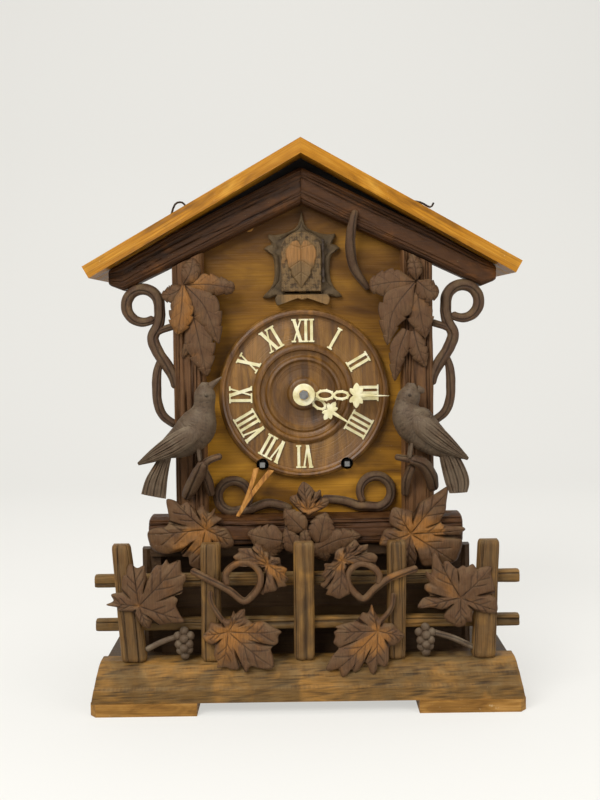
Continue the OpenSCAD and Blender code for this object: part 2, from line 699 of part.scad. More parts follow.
module fence_sprigs() color(leaf_wood) {
    y = post_front - 2.5;
    stem(smooth([[-93.5, y, 118], [-72, y, 106], [-51, y, 89], [-39, y, 100], [-41, y, 117], [-53, y, 122.5],
        [-64, y, 116]], 3), 2.7);
    stem(smooth([[89.5, y, 117], [66, y, 105], [44, y, 90], [32, y, 102], [32.5, y, 115], [43, y, 122],
        [57, y, 118]], 3), 2.7);
    leaf([-36, post_front, 112], [[20, 20, 12], [58, 22, 13], [100, 26, 13], [150, 18, 14], [230, 10, 20],
        [300, 16, 16], [340, 19, 11]], 5);
    leaf([27, post_front, 112], [[34, 18, 12], [80, 28, 13], [122, 22, 13], [160, 16, 12], [200, 17, 12],
        [240, 16, 14], [310, 10, 20]], 5);
    // stalks of the two low leaves
    stem(smooth([[-78, y, 101], [-77, y, 90], [-67, y, 74]], 3), 2);
    stem(smooth([[70.5, y, 97], [68, y, 84], [58, y, 72]], 3), 2);
}

// Berries of one bunch, [across, forward, up] in steps of a berry
berries = [[0, 0, 2], [-1, 0, 1.2], [1, 0, 1.2], [0, 0.8, 0.9], [-0.8, 0.5, 0], [0.8, 0.5, 0], [0, 0.9, -0.6],
    [-0.6, 0, -1.2], [0.7, 0, -1.1], [0.1, 0, -2]];

module grapes() color(leaf_wood) {
    for (side = [[-100.9, 55.4], [96.7, 55.8]], b = berries)
        translate([side[0] + 5 * b[0], -80 - 4.4 * b[1], side[1] + 5 * b[2]])
            sphere(3.7, $fn = 8);
    stem([[-133, -80, 50], [-118, -79, 57], [-101, -79, 62]], 2.4, 6);
    stem([[137, -80, 48], [118, -79, 57], [97, -79, 63]], 2.4, 6);
}

// A sliver folded in two that leans between the dial's rim and the log
module loose_strip() color(honey_wood) {
    fold = [-57, -50.6, 154.4];
    for (top = [[-41, -42.3, 206], [-26, -42.3, 200]])
        loft([for (t = [0, 0.5, 1]) let(p = fold + (top - fold) * t, half = 2.4 + 1.6 * t)
            [for (s = [[-half, 0.4], [-half, -0.4], [half, -0.4], [half, 0.4]]) p + [s[0], s[1], 0]]]);
}

module roof_hooks() color(steel) {
    stem(smooth([[-108, -50, 403.6], [-104, -50, 414.5], [-98, -50, 416], [-94, -50, 411]], 3), 0.9, 6);
    stem(smooth([[88, -50, 415], [98, -50, 413.5], [106, -50, 409.5], [109, -50, 413]], 3), 0.9, 6);
}

// Movement

module plate(y, low, high) {
    slab(y, y + plate_t) translate([-plate_x, low]) square([2 * plate_x, high - low]);
}

pillar_places = [for (x = [-61, 61], z = [158, 320]) [x, z]];

module front_plate() color(brass) {
    difference() {
        plate(front_plate_y, seat_top, 328);
        bar(centre, front_plate_y - 1, 0, arbor_r + run);
        for (p = [going, strike]) bar(p, front_plate_y - 1, 0, 2.5 + run);
        for (p = [inter, third, escape, pallet_axis, pin_axis, fly_axis])
            bar(p, front_plate_y - 1, 0, 0.9 + run);
        for (p = pillar_places) bar(p, front_plate_y - 1, 0, 2);
    }
    // stud of the minute wheel, and the two clicks on their screws
    bar(minute_axis, -21, front_plate_y, 1.4);
    for (s = [-1, 1]) slab(-8, front_plate_y) translate([s * wind_x, wind_z])
        polygon([[12, 8], [16, 8], [15, -3], [9.4, -2.6], [9.2, -1], [11.6, 0.2]]);
}

module back_plate() color(brass) {
    difference() {
        plate(back_plate_y, seat_top, plate_top);
        for (p = [going, strike]) bar(p, 40, 46, 1.5 + run);
        for (p = [centre, inter, third, escape, pin_axis, fly_axis]) bar(p, 40, 46, 0.9 + run);
        bar(pallet_axis, 40, 46, 1.2 + run);
    }
    // pillars riveted to this plate, with a pin that reaches through the front plate
    for (p = pillar_places) {
        bar(p, front_plate_y + plate_t, back_plate_y, 3.5);
        bar(p, front_plate_y - 2, front_plate_y + plate_t, 1.95);
    }
    // pivots that the pendulum and the gong hammer hang on
    bar(swing_axis, back_plate_y + plate_t, 56, 0.8);
    bar(hammer_axis, back_plate_y + plate_t, 64, 1);
}

module barrel(p, phase) {
    difference() {
        union() {
            gear(p, 11, 14, barrel_teeth, barrel_mod, phase);
            bar(p, 14, 38.5, 26);
        }
        bar(p, 10, 40, 2.5 + run);
    }
}

module going_barrel() color(brass) barrel(going, phase_barrel);

module strike_barrel() color(brass) barrel(strike, 0);

// Winding arbor with its square in the dial's hole and the ratchet on the front plate
module winding_arbor(p) {
    bar(p, -30, back_plate_y - 0.2, 2.5);
    bar(p, back_plate_y - 0.2, back_plate_y + plate_t, 1.5);
    slab(-39.5, -30) translate([p[0] - 2.1, p[1] - 2.1]) square(4.2);
    slab(-8, -5) translate(p) polygon([for (k = [0:15]) each [8.8 * heading(22.5 * k),
        7 * heading(22.5 * k + 3)]]);
}

module going_arbor() color(steel) winding_arbor(going);

module strike_arbor() color(steel) winding_arbor(strike);

module intermediate_wheel() color(brass) {
    gear(inter, 10.5, 16, barrel_pinion, barrel_mod, 0);
    gear(inter, 6, 8, inter_teeth, inter_mod, phase_inter);
    arbor(inter, 2, 0.9);
}

module centre_wheel() color(brass) {
    gear(centre, 1, 3, train_teeth, centre_mod, 0);
    gear(centre, 5, 9, centre_pinion, inter_mod, 0);
    gear(centre, -14, -10, cannon_teeth, minute_mod, 0);
    bar(centre, -52.6, 1, arbor_r);
    bar(centre, 1, back_plate_y - 0.2, 2.2);
    bar(centre, back_plate_y - 0.2, back_plate_y + plate_t, 0.9);
    // nut in front of the minute hand
    color(steel) difference() {
        bar(centre, -53.4, -51.4, 4.2);
        bar(centre, -52.6, -50, arbor_r);
    }
}

module third_wheel() color(brass) {
    gear(third, 0, 4, train_pinion, centre_mod, phase_third);
    gear(third, 22, 24, train_teeth, third_mod, 0);
    arbor(third, 1.3, 0.9);
}

module escape_wheel() color(brass) {
    gear(escape, 21, 25, train_pinion, third_mod, phase_escape);
    slab(31, 33) translate(escape) polygon([for (k = [0:escape_teeth - 1])
        each [escape_r * heading(10 * k), 12.2 * heading(10 * k + 1.5), 12.2 * heading(10 * k + 7.5)]]);
    arbor(escape, 1.2, 0.9);
}

module pallets() color(steel) {
    slab(29.5, 34.5) translate([0, pallet_axis[1]]) polygon([[0, 3], [4, 1.4], [15.4, -8.5], [16.4, -13.6],
        [13.2, -11.6], [12.4, -8.8], [4, -3.4], [0, -2.4], [-4, -3.4], [-12.4, -8.8], [-13.2, -11.6],
        [-16.4, -13.6], [-15.4, -8.5], [-4, 1.4]]);
    bar(pallet_axis, front_plate_y, front_plate_y + plate_t + 0.2, 0.9);
    bar(pallet_axis, front_plate_y + plate_t + 0.2, 47.5, 1.2);
    // crutch with its fork round the pendulum rod
    box([-1, 45, 297], [1, 46.5, pallet_axis[1]]);
    for (x = [-2.4, 1.2]) box([x, 45, 294], [x + 1.2, 53, 298]);
    box([-2.4, 45, 294], [2.4, 46.5, 298]);
}

module pendulum() color(brass) {
    difference() {
        union() {
            bar(swing_axis, 48.5, 53.5, 2.6);
            box([-0.8, 50, 212], [0.8, 52, swing_axis[1] - 1.5]);
        }
        bar(swing_axis, 47, 55, 0.8 + run);
    }
    translate([0, 55, 203]) rotate([90, 0, 0]) rotate_extrude() polygon([[0, 0], [6, 0], [12, 1.6], [14, 4],
        [12, 6.4], [6, 8], [0, 8]]);
}

module pin_wheel() color(brass) {
    gear(pin_axis, 10.5, 16, barrel_pinion, barrel_mod, phase_pin);
    gear(pin_axis, 6, 8, pin_teeth, pin_mod, 0);
    for (k = [0:5]) bar(pin_axis + 17 * heading(60 * k), 2, 6, 1);
    arbor(pin_axis, 1.6, 0.9);
}

module fly() color(brass) {
    gear(fly_axis, 5, 9, fly_pinion, pin_mod, phase_fly);
    box([fly_axis[0] - 9, 14, fly_axis[1] - 0.4], [fly_axis[0] + 9, 34, fly_axis[1] + 0.4]);
    arbor(fly_axis, 1.1, 0.9);
}

module minute_wheel() color(brass) difference() {
    union() {
        gear(minute_axis, -13, -11, minute_teeth, minute_mod, phase_minute);
        gear(minute_axis, -19, -13, minute_pinion, hour_mod, 0);
    }
    bar(minute_axis, -22, -9, 1.4 + run);
}

module hour_wheel() color(brass) difference() {
    union() {
        gear(centre, -18, -15, hour_teeth, hour_mod, phase_hour);
        bar(centre, -48.4, -15, pipe_r);
    }
    bar(centre, -50, -14, arbor_r + run);
}

// Whistles, bellows and gong

module whistles() color(honey_wood) both_sides() {
    difference() {
        box([73, -16, seat_top], [93, 8, 340]);
        // wind way and mouth of the pipe
        box([77, -12, seat_top + 6], [89, 4, 334]);
        box([77, -17, 318], [89, -11, 324]);
    }
    // fixed board under the bellows, with two lugs for the hinge rod
    box([70.4, -20, 340], [95.6, 30, 343]);
    for (x = [70.4, 93.8]) difference() {
        box([x, 22.5, 343], [x + 1.8, 30, 348.5]);
        bar_along_x([x + 3, bellows_y, bellows_z], 4, rod_r + run);
    }
}

// A bellows top with its folded skirt, hinged on a rod at the back
bellows_y = 26.2;
bellows_z = 345;
rod_r = 1.2;

module bellows_top() {
    box([72.5, -20, 351], [93.5, 24, 354]);
    color(bone) box([74, -18, 343.3], [92, 22, 351]);
    color(steel) bar_along_x([95.4, bellows_y, bellows_z], 24.8, rod_r);
    box([72.5, 22, bellows_z - 0.6], [93.5, bellows_y, bellows_z + 0.6]);
}

module bar_along_x(p, length, r) {
    translate(p) rotate([0, -90, 0]) cylinder(r = r, h = length);
}

module bellows_left() color(honey_wood) mirror([1, 0, 0]) bellows_top();

module bellows_right() color(honey_wood) bellows_top();

// A flat coil of steel wire held in a block on the right-hand side board
module gong() color(steel) {
    turns = 3;
    steps = 22;
    y = 62;
    stem([for (i = [0:turns * steps]) let(a = 360 * i / steps, r = 18 + 18 * i / (turns * steps))
        [48 + r * cos(a), y, 300 + r * sin(a)]], 1.2, 6);
    color(dark_wood) box([82, 56, 290], [inner_x, 68, 310]);
}

module gong_hammer() color(brass) {
    difference() {
        union() {
            bar(hammer_axis, 58, 62.5, 3.4);
            box([hammer_axis[0] - 1, 59, 300], [hammer_axis[0] + 1, 61.5, hammer_axis[1] - 2]);
        }
        bar(hammer_axis, 57, 64, 1 + run);
    }
    bar_along_x([9.8, 60.2, 300], 9.8, 4);
}

feet();
base_box();
base_log();
plinth();
cross_log();
seat_board();
front_board();
sides();
back_board();
roof_left();
roof_right();
rafters();
columns();
dial();
numerals();
door_frame();
upper_leaves();
scrolls();
bird_left();
bird_right();
perches();
vines();
lower_leaves();
leaf_centre();
fence_posts();
fence_rails();
fence_leaves();
fence_sprigs();
grapes();
gable_branch();
loose_strip();
roof_hooks();
back_door();
door_button();
front_plate();
back_plate();
going_barrel();
strike_barrel();
going_arbor();
strike_arbor();
intermediate_wheel();
centre_wheel();
third_wheel();
escape_wheel();
pallets();
pendulum();
pin_wheel();
fly();
minute_wheel();
hour_wheel();
minute_hand();
hour_hand();
cuckoo_door();
cuckoo();
bird_shelf();
whistles();
bellows_left();
bellows_right();
gong();
gong_hammer();
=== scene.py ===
import math

import bpy
import numpy as np
from mathutils import Matrix, Vector


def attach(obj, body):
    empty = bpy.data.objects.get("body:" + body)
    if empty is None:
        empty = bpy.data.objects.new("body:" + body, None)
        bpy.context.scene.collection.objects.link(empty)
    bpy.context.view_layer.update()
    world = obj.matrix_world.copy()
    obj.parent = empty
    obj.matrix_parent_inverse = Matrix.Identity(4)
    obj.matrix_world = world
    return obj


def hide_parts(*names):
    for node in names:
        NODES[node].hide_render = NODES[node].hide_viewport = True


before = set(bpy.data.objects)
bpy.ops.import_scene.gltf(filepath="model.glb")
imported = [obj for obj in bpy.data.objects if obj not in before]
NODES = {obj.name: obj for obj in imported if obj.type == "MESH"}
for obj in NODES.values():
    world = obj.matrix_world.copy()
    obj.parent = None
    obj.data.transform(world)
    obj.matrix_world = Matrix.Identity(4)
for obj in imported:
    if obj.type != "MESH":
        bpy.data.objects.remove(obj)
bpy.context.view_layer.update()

bl_info = {
    "name": "Cuckoo Mantel Clock",
    "version": (1, 0, 0),
    "blender": (4, 5, 0),
    "location": "3D View > Sidebar > Clock",
    "description": "Carvings and finishes of a chalet-shaped cuckoo mantel clock",
    "category": "Object",
}

Y = np.array([0.0, 1.0, 0.0])

# ---------------------------------------------------------------- numbers shared with the case
FACE_Y = -32.0          # front of the board that carries the dial
CARVED_Y = -48.0        # front of the rafters and columns
CROSS_FRONT = -60.0     # front of the cross log
RAIL_BACK, RAIL_FRONT, POST_FRONT = -68.0, -76.0, -86.0
FOOT_H, LOG_H, LOG_TOP, POST_TOP = 10.0, 31.0, 41.0, 138.0
CENTRE = (0.0, 256.0)   # middle of the dial
DOOR_PIN = (17.6, -41.5)
RAFTER_PITCH = 0.494    # fall of the rafters' upper line
CLEAR = 0.3             # left free between a log and what lies over it
SLOPE = math.radians(29.5)
RIDGE_UNDER = 466.0 - 11.0 / math.cos(SLOPE)


def linear(code):
    """An sRGB hex colour as linear RGBA."""
    parts = [int(code[i:i + 2], 16) / 255 for i in (1, 3, 5)]
    return tuple(c / 12.92 if c <= 0.04045 else ((c + 0.055) / 1.055) ** 2.4 for c in parts) + (1.0,)


# ---------------------------------------------------------------- surfaces

def waves(points, size, seed):
    """Smooth wander between -1 and 1: the mean of twelve sines in random directions, size mm long."""
    rng = np.random.default_rng(seed)
    way = rng.normal(size=(12, points.shape[-1])) / size * 2.2
    return np.sin(points @ way.T + rng.uniform(0, 6.28, 12)).mean(axis=-1) * 1.8


def smooth(points, steps):
    """A curve through given points, cubic between each two, steps to each."""
    p = np.array(points, float)
    padded = np.vstack([p[0], p, p[-1]])
    t = (np.arange(steps) / steps)[:, None]
    runs = [0.5 * (2 * b + (c - a) * t + (2 * a - 5 * b + 4 * c - d) * t ** 2
                   + (3 * b - a - 3 * c + d) * t ** 3)
            for a, b, c, d in zip(padded, padded[1:], padded[2:], padded[3:])]
    return np.vstack(runs + [p[-1:]])


def arc(centre, radius, start, end, y, steps):
    """Points of an arc in the XZ plane, from start to end degrees."""
    a = np.radians(np.linspace(start, end, steps + 1))
    return np.stack([centre[0] + radius * np.cos(a), np.full_like(a, y), centre[1] + radius * np.sin(a)], 1)


def unit(v):
    """Vectors scaled to length 1."""
    return v / np.linalg.norm(v, axis=-1, keepdims=True)


def held(x):
    """Held between 0 and 1."""
    return np.clip(x, 0, 1)


def bell(x, width):
    """A bell curve, 1 in its middle."""
    return np.exp(-(x / width) ** 2)


def soft_step(x):
    """A step from 0 to 1 that is about 4 wide."""
    return 1 / (1 + np.exp(-x))


def squarish(c, power=0.5):
    """A cosine or sine pushed out, so that a circle becomes a squared-off oval."""
    return np.sign(c) * np.abs(c) ** power


def circle(n):
    """A row of n bearings round a circle."""
    return np.linspace(0, 2 * np.pi, n, endpoint=False)[None, :]


def run_along(path):
    """The length run at each point of a path."""
    return np.concatenate([[0], np.cumsum(np.linalg.norm(np.diff(path, axis=0), axis=1))])


def swept(path):
    """The directions to the side of a path and up from it at each of its points, and its run."""
    way = unit(np.gradient(path, axis=0))
    side = unit(np.cross(way, Y))
    return side, np.cross(way, side), run_along(path)


def ovals(path, side, up, w, across, deep):
    """Rings about a path: across times cos w to its side, deep times sin w up from it."""
    return (path[:, None] + side[:, None] * (across * np.cos(w))[..., None]
            + up[:, None] * (deep * np.sin(w))[..., None])


def eased(values, at):
    """A few values at equal steps from 0 to 1, joined by a cubic curve and read at other places."""
    curve = smooth(np.array(values, float)[:, None], 12)[:, 0]
    return np.interp(at, np.linspace(0, 1, len(curve)), curve)


def resample(points, count, closed=True):
    """A polyline redrawn with count points at equal steps along it."""
    p = np.asarray(points, float)
    if closed:
        p = np.vstack([p, p[:1]])
    run = run_along(p)
    at = np.linspace(0, run[-1], count, endpoint=not closed)
    return np.stack([np.interp(at, run, p[:, c]) for c in range(p.shape[1])], 1)


def closed_curve(points, steps):
    """The cubic curve of smooth, carried round a closed outline."""
    p = np.asarray(points, float)
    return smooth(np.vstack([p[-2:], p, p[:2]]), steps)[2 * steps:-steps]


def turned(points, degrees, centre):
    """Points turned anticlockwise about Y, seen from the front, about centre in XZ."""
    a = math.radians(degrees)
    x, z = points[..., 0], points[..., 2]
    return np.stack([centre[0] + x * math.cos(a) - z * math.sin(a), points[..., 1],
                     centre[1] + x * math.sin(a) + z * math.cos(a)], -1)


def mirrored(part):
    """The same surface on the other side of the clock."""
    return dict(part, rings=part["rings"] * [-1, 1, 1])


def surface(parts):
    """Joins surfaces into one mesh's arrays. Each is m rings of n points: ring to ring and round each
    ring run the faces, and both ends draw in to one point, or with loop the last ring meets the first.
    Where the volume comes out negative the faces are turned over."""
    verts, quads, tris, count = [], [], [], 0
    marks = {"high": [], "groove": [], "tone": []}
    for part in parts:
        rings = part["rings"]
        m, n = rings.shape[:2]
        loop = part.get("loop", False)
        flat = rings.reshape(-1, 3)
        i, k = np.meshgrid(np.arange(m if loop else m - 1), np.arange(n), indexing="ij")
        j, l = (i + 1) % m, (k + 1) % n
        q = np.stack([i * n + k, i * n + l, j * n + l, j * n + k], -1).reshape(-1, 4)
        around = np.arange(n)
        if loop:
            t = np.zeros((0, 3), int)
            points = flat
        else:
            points = np.vstack([flat, rings[0].mean(0), rings[-1].mean(0)])
            start = np.stack([np.full(n, m * n), (around + 1) % n, around], -1)
            end = np.stack([np.full(n, m * n + 1), (m - 1) * n + around, (m - 1) * n + (around + 1) % n], -1)
            t = np.vstack([start, end])
        a, b, c, d = (points[q[:, s]] for s in range(4))
        volume = (a * np.cross(b, c)).sum() + (a * np.cross(c, d)).sum()
        volume += (points[t[:, 0]] * np.cross(points[t[:, 1]], points[t[:, 2]])).sum() if len(t) else 0
        if volume < 0:
            q, t = q[:, ::-1], t[:, ::-1]
        for key in marks:
            given = np.broadcast_to(np.asarray(part.get(key, 0.0), float), (m, n)).reshape(-1)
            ends = [] if loop else [given[:n].mean(), given[-n:].mean()]
            marks[key].append(np.concatenate([given, ends]))
        verts.append(points)
        quads.append(q + count)
        tris.append(t + count)
        count += len(points)
    return (np.vstack(verts) * 0.001, np.vstack(quads), np.vstack(tris),
            {key: np.concatenate(v) for key, v in marks.items()})


def piece(name, parts, finish, replaces=(), body="case", crease=40):
    """Puts surfaces, in mm, into one object that rides on a body."""
    verts, quads, tris, marks = surface(parts)
    mesh = bpy.data.meshes.new(name)
    mesh.vertices.add(len(verts))
    mesh.vertices.foreach_set("co", verts.astype(np.float32).ravel())
    mesh.loops.add(quads.size + tris.size)
    mesh.loops.foreach_set("vertex_index", np.concatenate([quads.ravel(), tris.ravel()]).astype(np.int32))
    mesh.polygons.add(len(quads) + len(tris))
    starts = np.concatenate([np.arange(len(quads)) * 4, quads.size + np.arange(len(tris)) * 3])
    mesh.polygons.foreach_set("loop_start", starts.astype(np.int32))
    mesh.update(calc_edges=True)
    mesh.validate()
    mesh.shade_smooth()
    mesh.set_sharp_from_angle(angle=math.radians(crease))
    for key, values in marks.items():
        layer = mesh.attributes.new(key, "FLOAT", "POINT")
        layer.data.foreach_set("value", values.astype(np.float32))
    obj = bpy.data.objects.new(name, mesh)
    bpy.context.scene.collection.objects.link(obj)
    mesh.materials.append(FINISH[finish])
    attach(obj, body)
    if replaces:
        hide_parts(*replaces)


# ---------------------------------------------------------------- forms

def bark(a, b, across, widths, depth, seed, grooves, deep=1.0, wave=0.04, pitch=1.4, blunt=0.06):
    """A hewn log from a to b, flat at the back. Half a section runs x = w/2 |cos v|^0.6,
    y = depth |sin v|^0.35 for v from 0 to 180 degrees. Every point is moved in by wandering grooves:
    a bell curve across a sine-shaped line, faded in and out along the log, and by low flakes of bark
    whose edge is a soft step of the same wandering lines. The ends are rounded over by blunt, as a
    share of the section."""
    a, b, across = (np.array(v, float) for v in (a, b, across))
    length = np.linalg.norm(b - a)
    rng = np.random.default_rng(seed)
    m, n, back_points = max(int(length / pitch), 16), 88, 6
    t = np.linspace(0, 1, m)[:, None]
    v = np.linspace(0, np.pi, n)[None, :]
    along = t * length
    w = (widths[0] + (widths[1] - widths[0]) * t) * (1 + wave * waves(along[..., None], 30, seed))
    x = squarish(np.cos(v), 0.6) * w / 2
    y = -np.sin(v) ** 0.35 * depth * np.ones_like(t)
    side = v / np.pi * (w + depth)
    dig = np.zeros((m, n))
    for _ in range(grooves):
        line = rng.uniform(0, 1) * (widths[0] + depth) + rng.uniform(0.2, 1.6) * np.sin(
            along / rng.uniform(14, 46) + rng.uniform(0, 6))
        window = soft_step((along - rng.uniform(-0.6, 0.7) * length) / 2.5)
        window *= soft_step(-(along - rng.uniform(0.3, 1.6) * length) / 2.5)
        width, cut = rng.uniform(0.25, 0.8), rng.uniform(0.25, 1.3) * deep
        flake = 0.35 * cut * soft_step((side - line) / 0.3) * np.exp(-np.maximum(side - line, 0) / 3.5)
        dig += (cut * bell(side - line, width) + flake) * window
    dig += 0.18 * deep * (waves(np.stack([along + 0 * v, side * 6], -1), 9, seed + 1) + 1)
    dig *= np.sin(v) ** 0.25
    out = unit(np.stack([x / (w / 2), y / depth], -1) + 1e-6)
    x, y = x - dig * out[..., 0], y - dig * out[..., 1]
    ends = np.minimum(np.minimum(along, length - along) / (25 * blunt), 1)
    shrink = 1 - blunt + blunt * np.sqrt(held(1 - (1 - ends) ** 2))
    front = a + (b - a) * t[..., None] + across * (x * shrink)[..., None] + Y * (y * shrink)[..., None]
    share = np.linspace(0, 1, back_points + 2)[1:-1, None]
    back = front[:, -1:] + (front[:, :1] - front[:, -1:]) * share[None]
    pad = np.zeros((m, back_points))
    # the groove mark, darker the deeper the cut, is painted shade in the bark's cuts
    top = max(np.percentile(dig, 96), 0.3)
    return {"rings": np.concatenate([front, back], 1),
            "groove": np.concatenate([held(dig / top), pad], 1),
            "high": np.concatenate([held(1 - 2.2 * dig / top), pad], 1), "tone": 0.5}


def leaf(centre, outline, tips, plane, thick, seed, tone, lean=0.0, n=400, m=46):
    """A carved vine leaf: rings that shrink from its edge to the junction of its veins. Each lobe runs
    from valley to valley about its tip's bearing, u from -1 to 1. Its height over the plane is an arch
    from junction to tip, plus a crown 1 - |u|^4 across the lobe, a level and a tilt of its own, so
    that neighbours overlap in a step, less the cut between them, the mid vein and two pairs of side
    veins that leave it at 38 degrees, and a few flat facets of the gouge."""
    rng = np.random.default_rng(seed)
    edge = resample(closed_curve(np.array(outline, float) - centre, 6), n)
    theta = np.unwrap(np.arctan2(edge[:, 1], edge[:, 0]))
    if theta[-1] < theta[0]:
        edge, theta = edge[::-1], theta[::-1]
    theta = np.maximum.accumulate(theta)
    radius = np.hypot(edge[:, 0], edge[:, 1])
    tip = np.array(tips, float) - centre
    at = (np.arctan2(tip[:, 1], tip[:, 0]) - theta[0]) % (2 * np.pi) + theta[0]
    at, reach = np.sort(at), np.hypot(tip[:, 0], tip[:, 1])[np.argsort(at)]
    count = len(at)
    # the valley between two tips is where the edge comes nearest for their reach; tips count evenly
    # from 0 and valleys oddly, so that a place between them says which lobe it lies on
    around = np.append(at, at[0] + 2 * np.pi)
    turn = np.concatenate([theta, theta + 2 * np.pi])
    share = np.concatenate([radius, radius]) / np.interp(turn, around, np.append(reach, reach[0]))
    knots = []
    for low, high in zip(around, around[1:]):
        between = (turn > low + 0.2 * (high - low)) & (turn < high - 0.2 * (high - low))
        knots += [low, turn[between][np.argmin(share[between])]]
    knots, marks = np.array(knots), np.arange(2.0 * count)
    knots = np.concatenate([knots[-2:] - 2 * np.pi, knots, knots[:3] + 2 * np.pi])
    marks = np.concatenate([marks[-2:] - 2 * count, marks, marks[:3] + 2 * count])
    s = np.concatenate([[0.02], np.linspace(0.05, 0.93, m - 5), [0.955, 0.975, 0.99, 1.0]])[:, None]
    rho = s * radius
    bend = rng.uniform(-0.12, 0.12, count)
    lobe_at = np.round(np.interp(theta, knots, marks) / 2).astype(int) % count
    bent = theta + bend[lobe_at] * held(s - 0.3) * s
    place = np.interp(bent, knots, marks)
    lobe_at = np.round(place / 2).astype(int)
    u = place - 2 * lobe_at
    lobe_at = lobe_at % count
    off = (bent - at[lobe_at] + np.pi) % (2 * np.pi) - np.pi
    aside, along = rho * np.sin(off), rho * np.cos(off)
    grow = held((s - 0.36) / 0.36) ** 1.2
    far = (1 - s) * radius
    to_cut = (1 - np.abs(u)) * rho * (np.abs(off) / np.maximum(np.abs(u), 0.02))
    cut = bell(to_cut, 0.75) * held((s - 0.46) / 0.22)
    vein = bell(aside, 0.5) * (1 - 0.55 * s) * held(rho / 4)
    size = reach[lobe_at]
    for start, side in ((0.3, 1), (0.38, -1), (0.52, 1), (0.6, -1)):
        x, y = along - start * size, aside * side
        branch = bell(np.abs(x * 0.62 - y * 0.79), 0.5) * (y > 0) * (x > 0) * (y < 0.2 * size) * (far > 1.5)
        vein = np.maximum(vein, 0.8 * branch)
    level = rng.uniform(-0.16, 0.16, count)[lobe_at] * thick
    flat = np.stack([rho * np.cos(theta), rho * np.sin(theta)], -1)
    facet = np.abs(waves(flat, 9, seed + 5)) * 0.1 * thick
    body = thick * (0.1 + 0.26 * np.sin(np.pi * held(s) ** 0.75)) + facet
    crown = 0.24 * thick * (1 - np.abs(u) ** 4) * (1 - 0.6 * s ** 3)
    body = body + grow * (crown + level + 0.09 * thick * u) - thick * (0.34 * cut + 0.1 * vein)
    rim = 0.26 * thick
    height = rim + np.maximum(body, -0.4 * rim) * (0.25 + 0.75 * np.sqrt(held(far / 2.2)))
    height = height - 0.12 * thick * s ** 4 * (1 + np.sin(3 * theta + seed))
    front = np.stack([flat[..., 0], -height, flat[..., 1]], -1)
    under = [np.stack([k * edge[:, 0], 0 * theta, k * edge[:, 1]], -1)[None] for k in (0.98, 0.5)]
    points = np.concatenate([front] + under, 0) + np.array([0, plane, 0])
    points[..., 1] += lean * points[..., 2]
    # painted shade in the veins, in the cuts between lobes and along the rim
    dark = held(0.95 * vein + 1.1 * cut + 0.35 * (far < 0.6))
    warm = tone + 0.55 - 1.0 * s + rng.uniform(-0.35, 0.35, count)[lobe_at] + 0.25 * waves(flat, 14, seed + 8)
    # the high mark, which takes grey dust and a painted highlight, grows towards the leaf's edge
    high = held(0.15 + 0.75 * s ** 1.5 + 0.25 * waves(flat, 10, seed + 9) - dark)
    pad = np.zeros((2, n))
    return {"rings": points + np.array([centre[0], 0, centre[1]]), "groove": np.vstack([dark, pad]),
            "high": np.vstack([high, pad]), "tone": np.vstack([np.clip(warm, 0, 1.2), pad])}


def lobe(path, widths, plane, level, tone, seed):
    """One lobe of a carved leaf: its mid line is a curve through given points, its half width eased
    between given ones and cut by five saw teeth, t from 0 to 1 along it and u from -1 to 1 across.
    Height is a level of its own, an arch along it, a dome 1 - |u|^3 across and a small tilt, less a
    mid vein and side veins that leave it at 45 degrees. The back is flat on the plane."""
    rng = np.random.default_rng(seed)
    m, n, teeth = 110, 56, 5
    line = resample(smooth([(x, 0, z) for x, z in path], 20), m, closed=False)
    t = np.linspace(0, 1, m)[:, None]
    u = np.linspace(-1, 1, n)[None, :]
    across, _, run = swept(line)
    run, length = t * run[-1], run[-1]
    saw = (t * teeth + rng.uniform(0, 1) + 0.35 * np.sign(u)) % 1
    toothed = 1 - 0.2 * saw ** 2 * held((t - 0.25) / 0.2)
    edge = eased(widths, t) * toothed * np.sqrt(np.clip((1 - t) / 0.05, 0.01, 1))
    aside = u * edge
    branch = bell((run - np.abs(aside) * 1.05 + 0.5 * np.sign(u)) % (0.21 * length + 2), 0.4)
    branch = branch * (np.abs(u) < 0.85) * (np.abs(u) > 0.04) * held(t * 4 - 0.4)
    vein = np.maximum(bell(aside, 0.42) * (1 - 0.5 * t), 0.75 * branch)
    rough = waves(np.stack([run + 0 * u, aside], -1), 7, seed)
    height = level + 1.3 * np.sin(np.pi * t ** 0.8) + 2.3 * (1 - np.abs(u) ** 3) * held(edge / 6)
    height = height + rng.uniform(-0.6, 0.6) * u + 0.35 * rough - 0.45 * vein
    front = line[:, None] + across[:, None] * aside[..., None] + Y * (plane - height)[..., None]
    back = front[:, ::-8] * [1, 0, 1] + Y * plane
    grey = held(t * 1.3 - 0.35 + 0.3 * rough)
    # painted shade along the lobe's edge, where it meets the board, and in its veins
    rim = bell((1 - np.abs(u)) * edge, 0.5)
    pad = np.zeros((m, back.shape[1]))
    return {"rings": np.concatenate([front, back], 1),
            "groove": np.concatenate([held(vein + 0.8 * rim), pad], 1),
            "high": np.concatenate([held(0.25 + 0.75 * grey - vein), pad], 1),
            "tone": np.concatenate([held(tone - 0.1 - 0.45 * grey + 0.25 * rough), pad], 1)}


def star_leaf(at, lobes, y, thick):
    """A little flat leaf cut with a fretsaw: its radius over the bearing falls from each tip to a
    valley between two; one face and the other, a rounded edge between them."""
    bearing, reach = np.array(lobes, float).T
    theta = circle(220)[0]
    off = np.abs((np.degrees(theta)[:, None] - bearing + 180) % 360 - 180)
    edge = (reach * (1 - 0.5 * np.clip(off / 32, 0, 1.4) ** 1.2)).max(1)
    rings = [np.stack([at + k * edge * np.cos(theta), np.full(len(theta), y + d * thick / 2),
                       k * edge * np.sin(theta)], 1)
             for k, d in ((0.1, -1), (0.9, -1), (0.985, -0.6), (1, 0), (0.985, 0.6), (0.9, 1), (0.1, 1))]
    return {"rings": np.stack(rings), "high": 0.5}


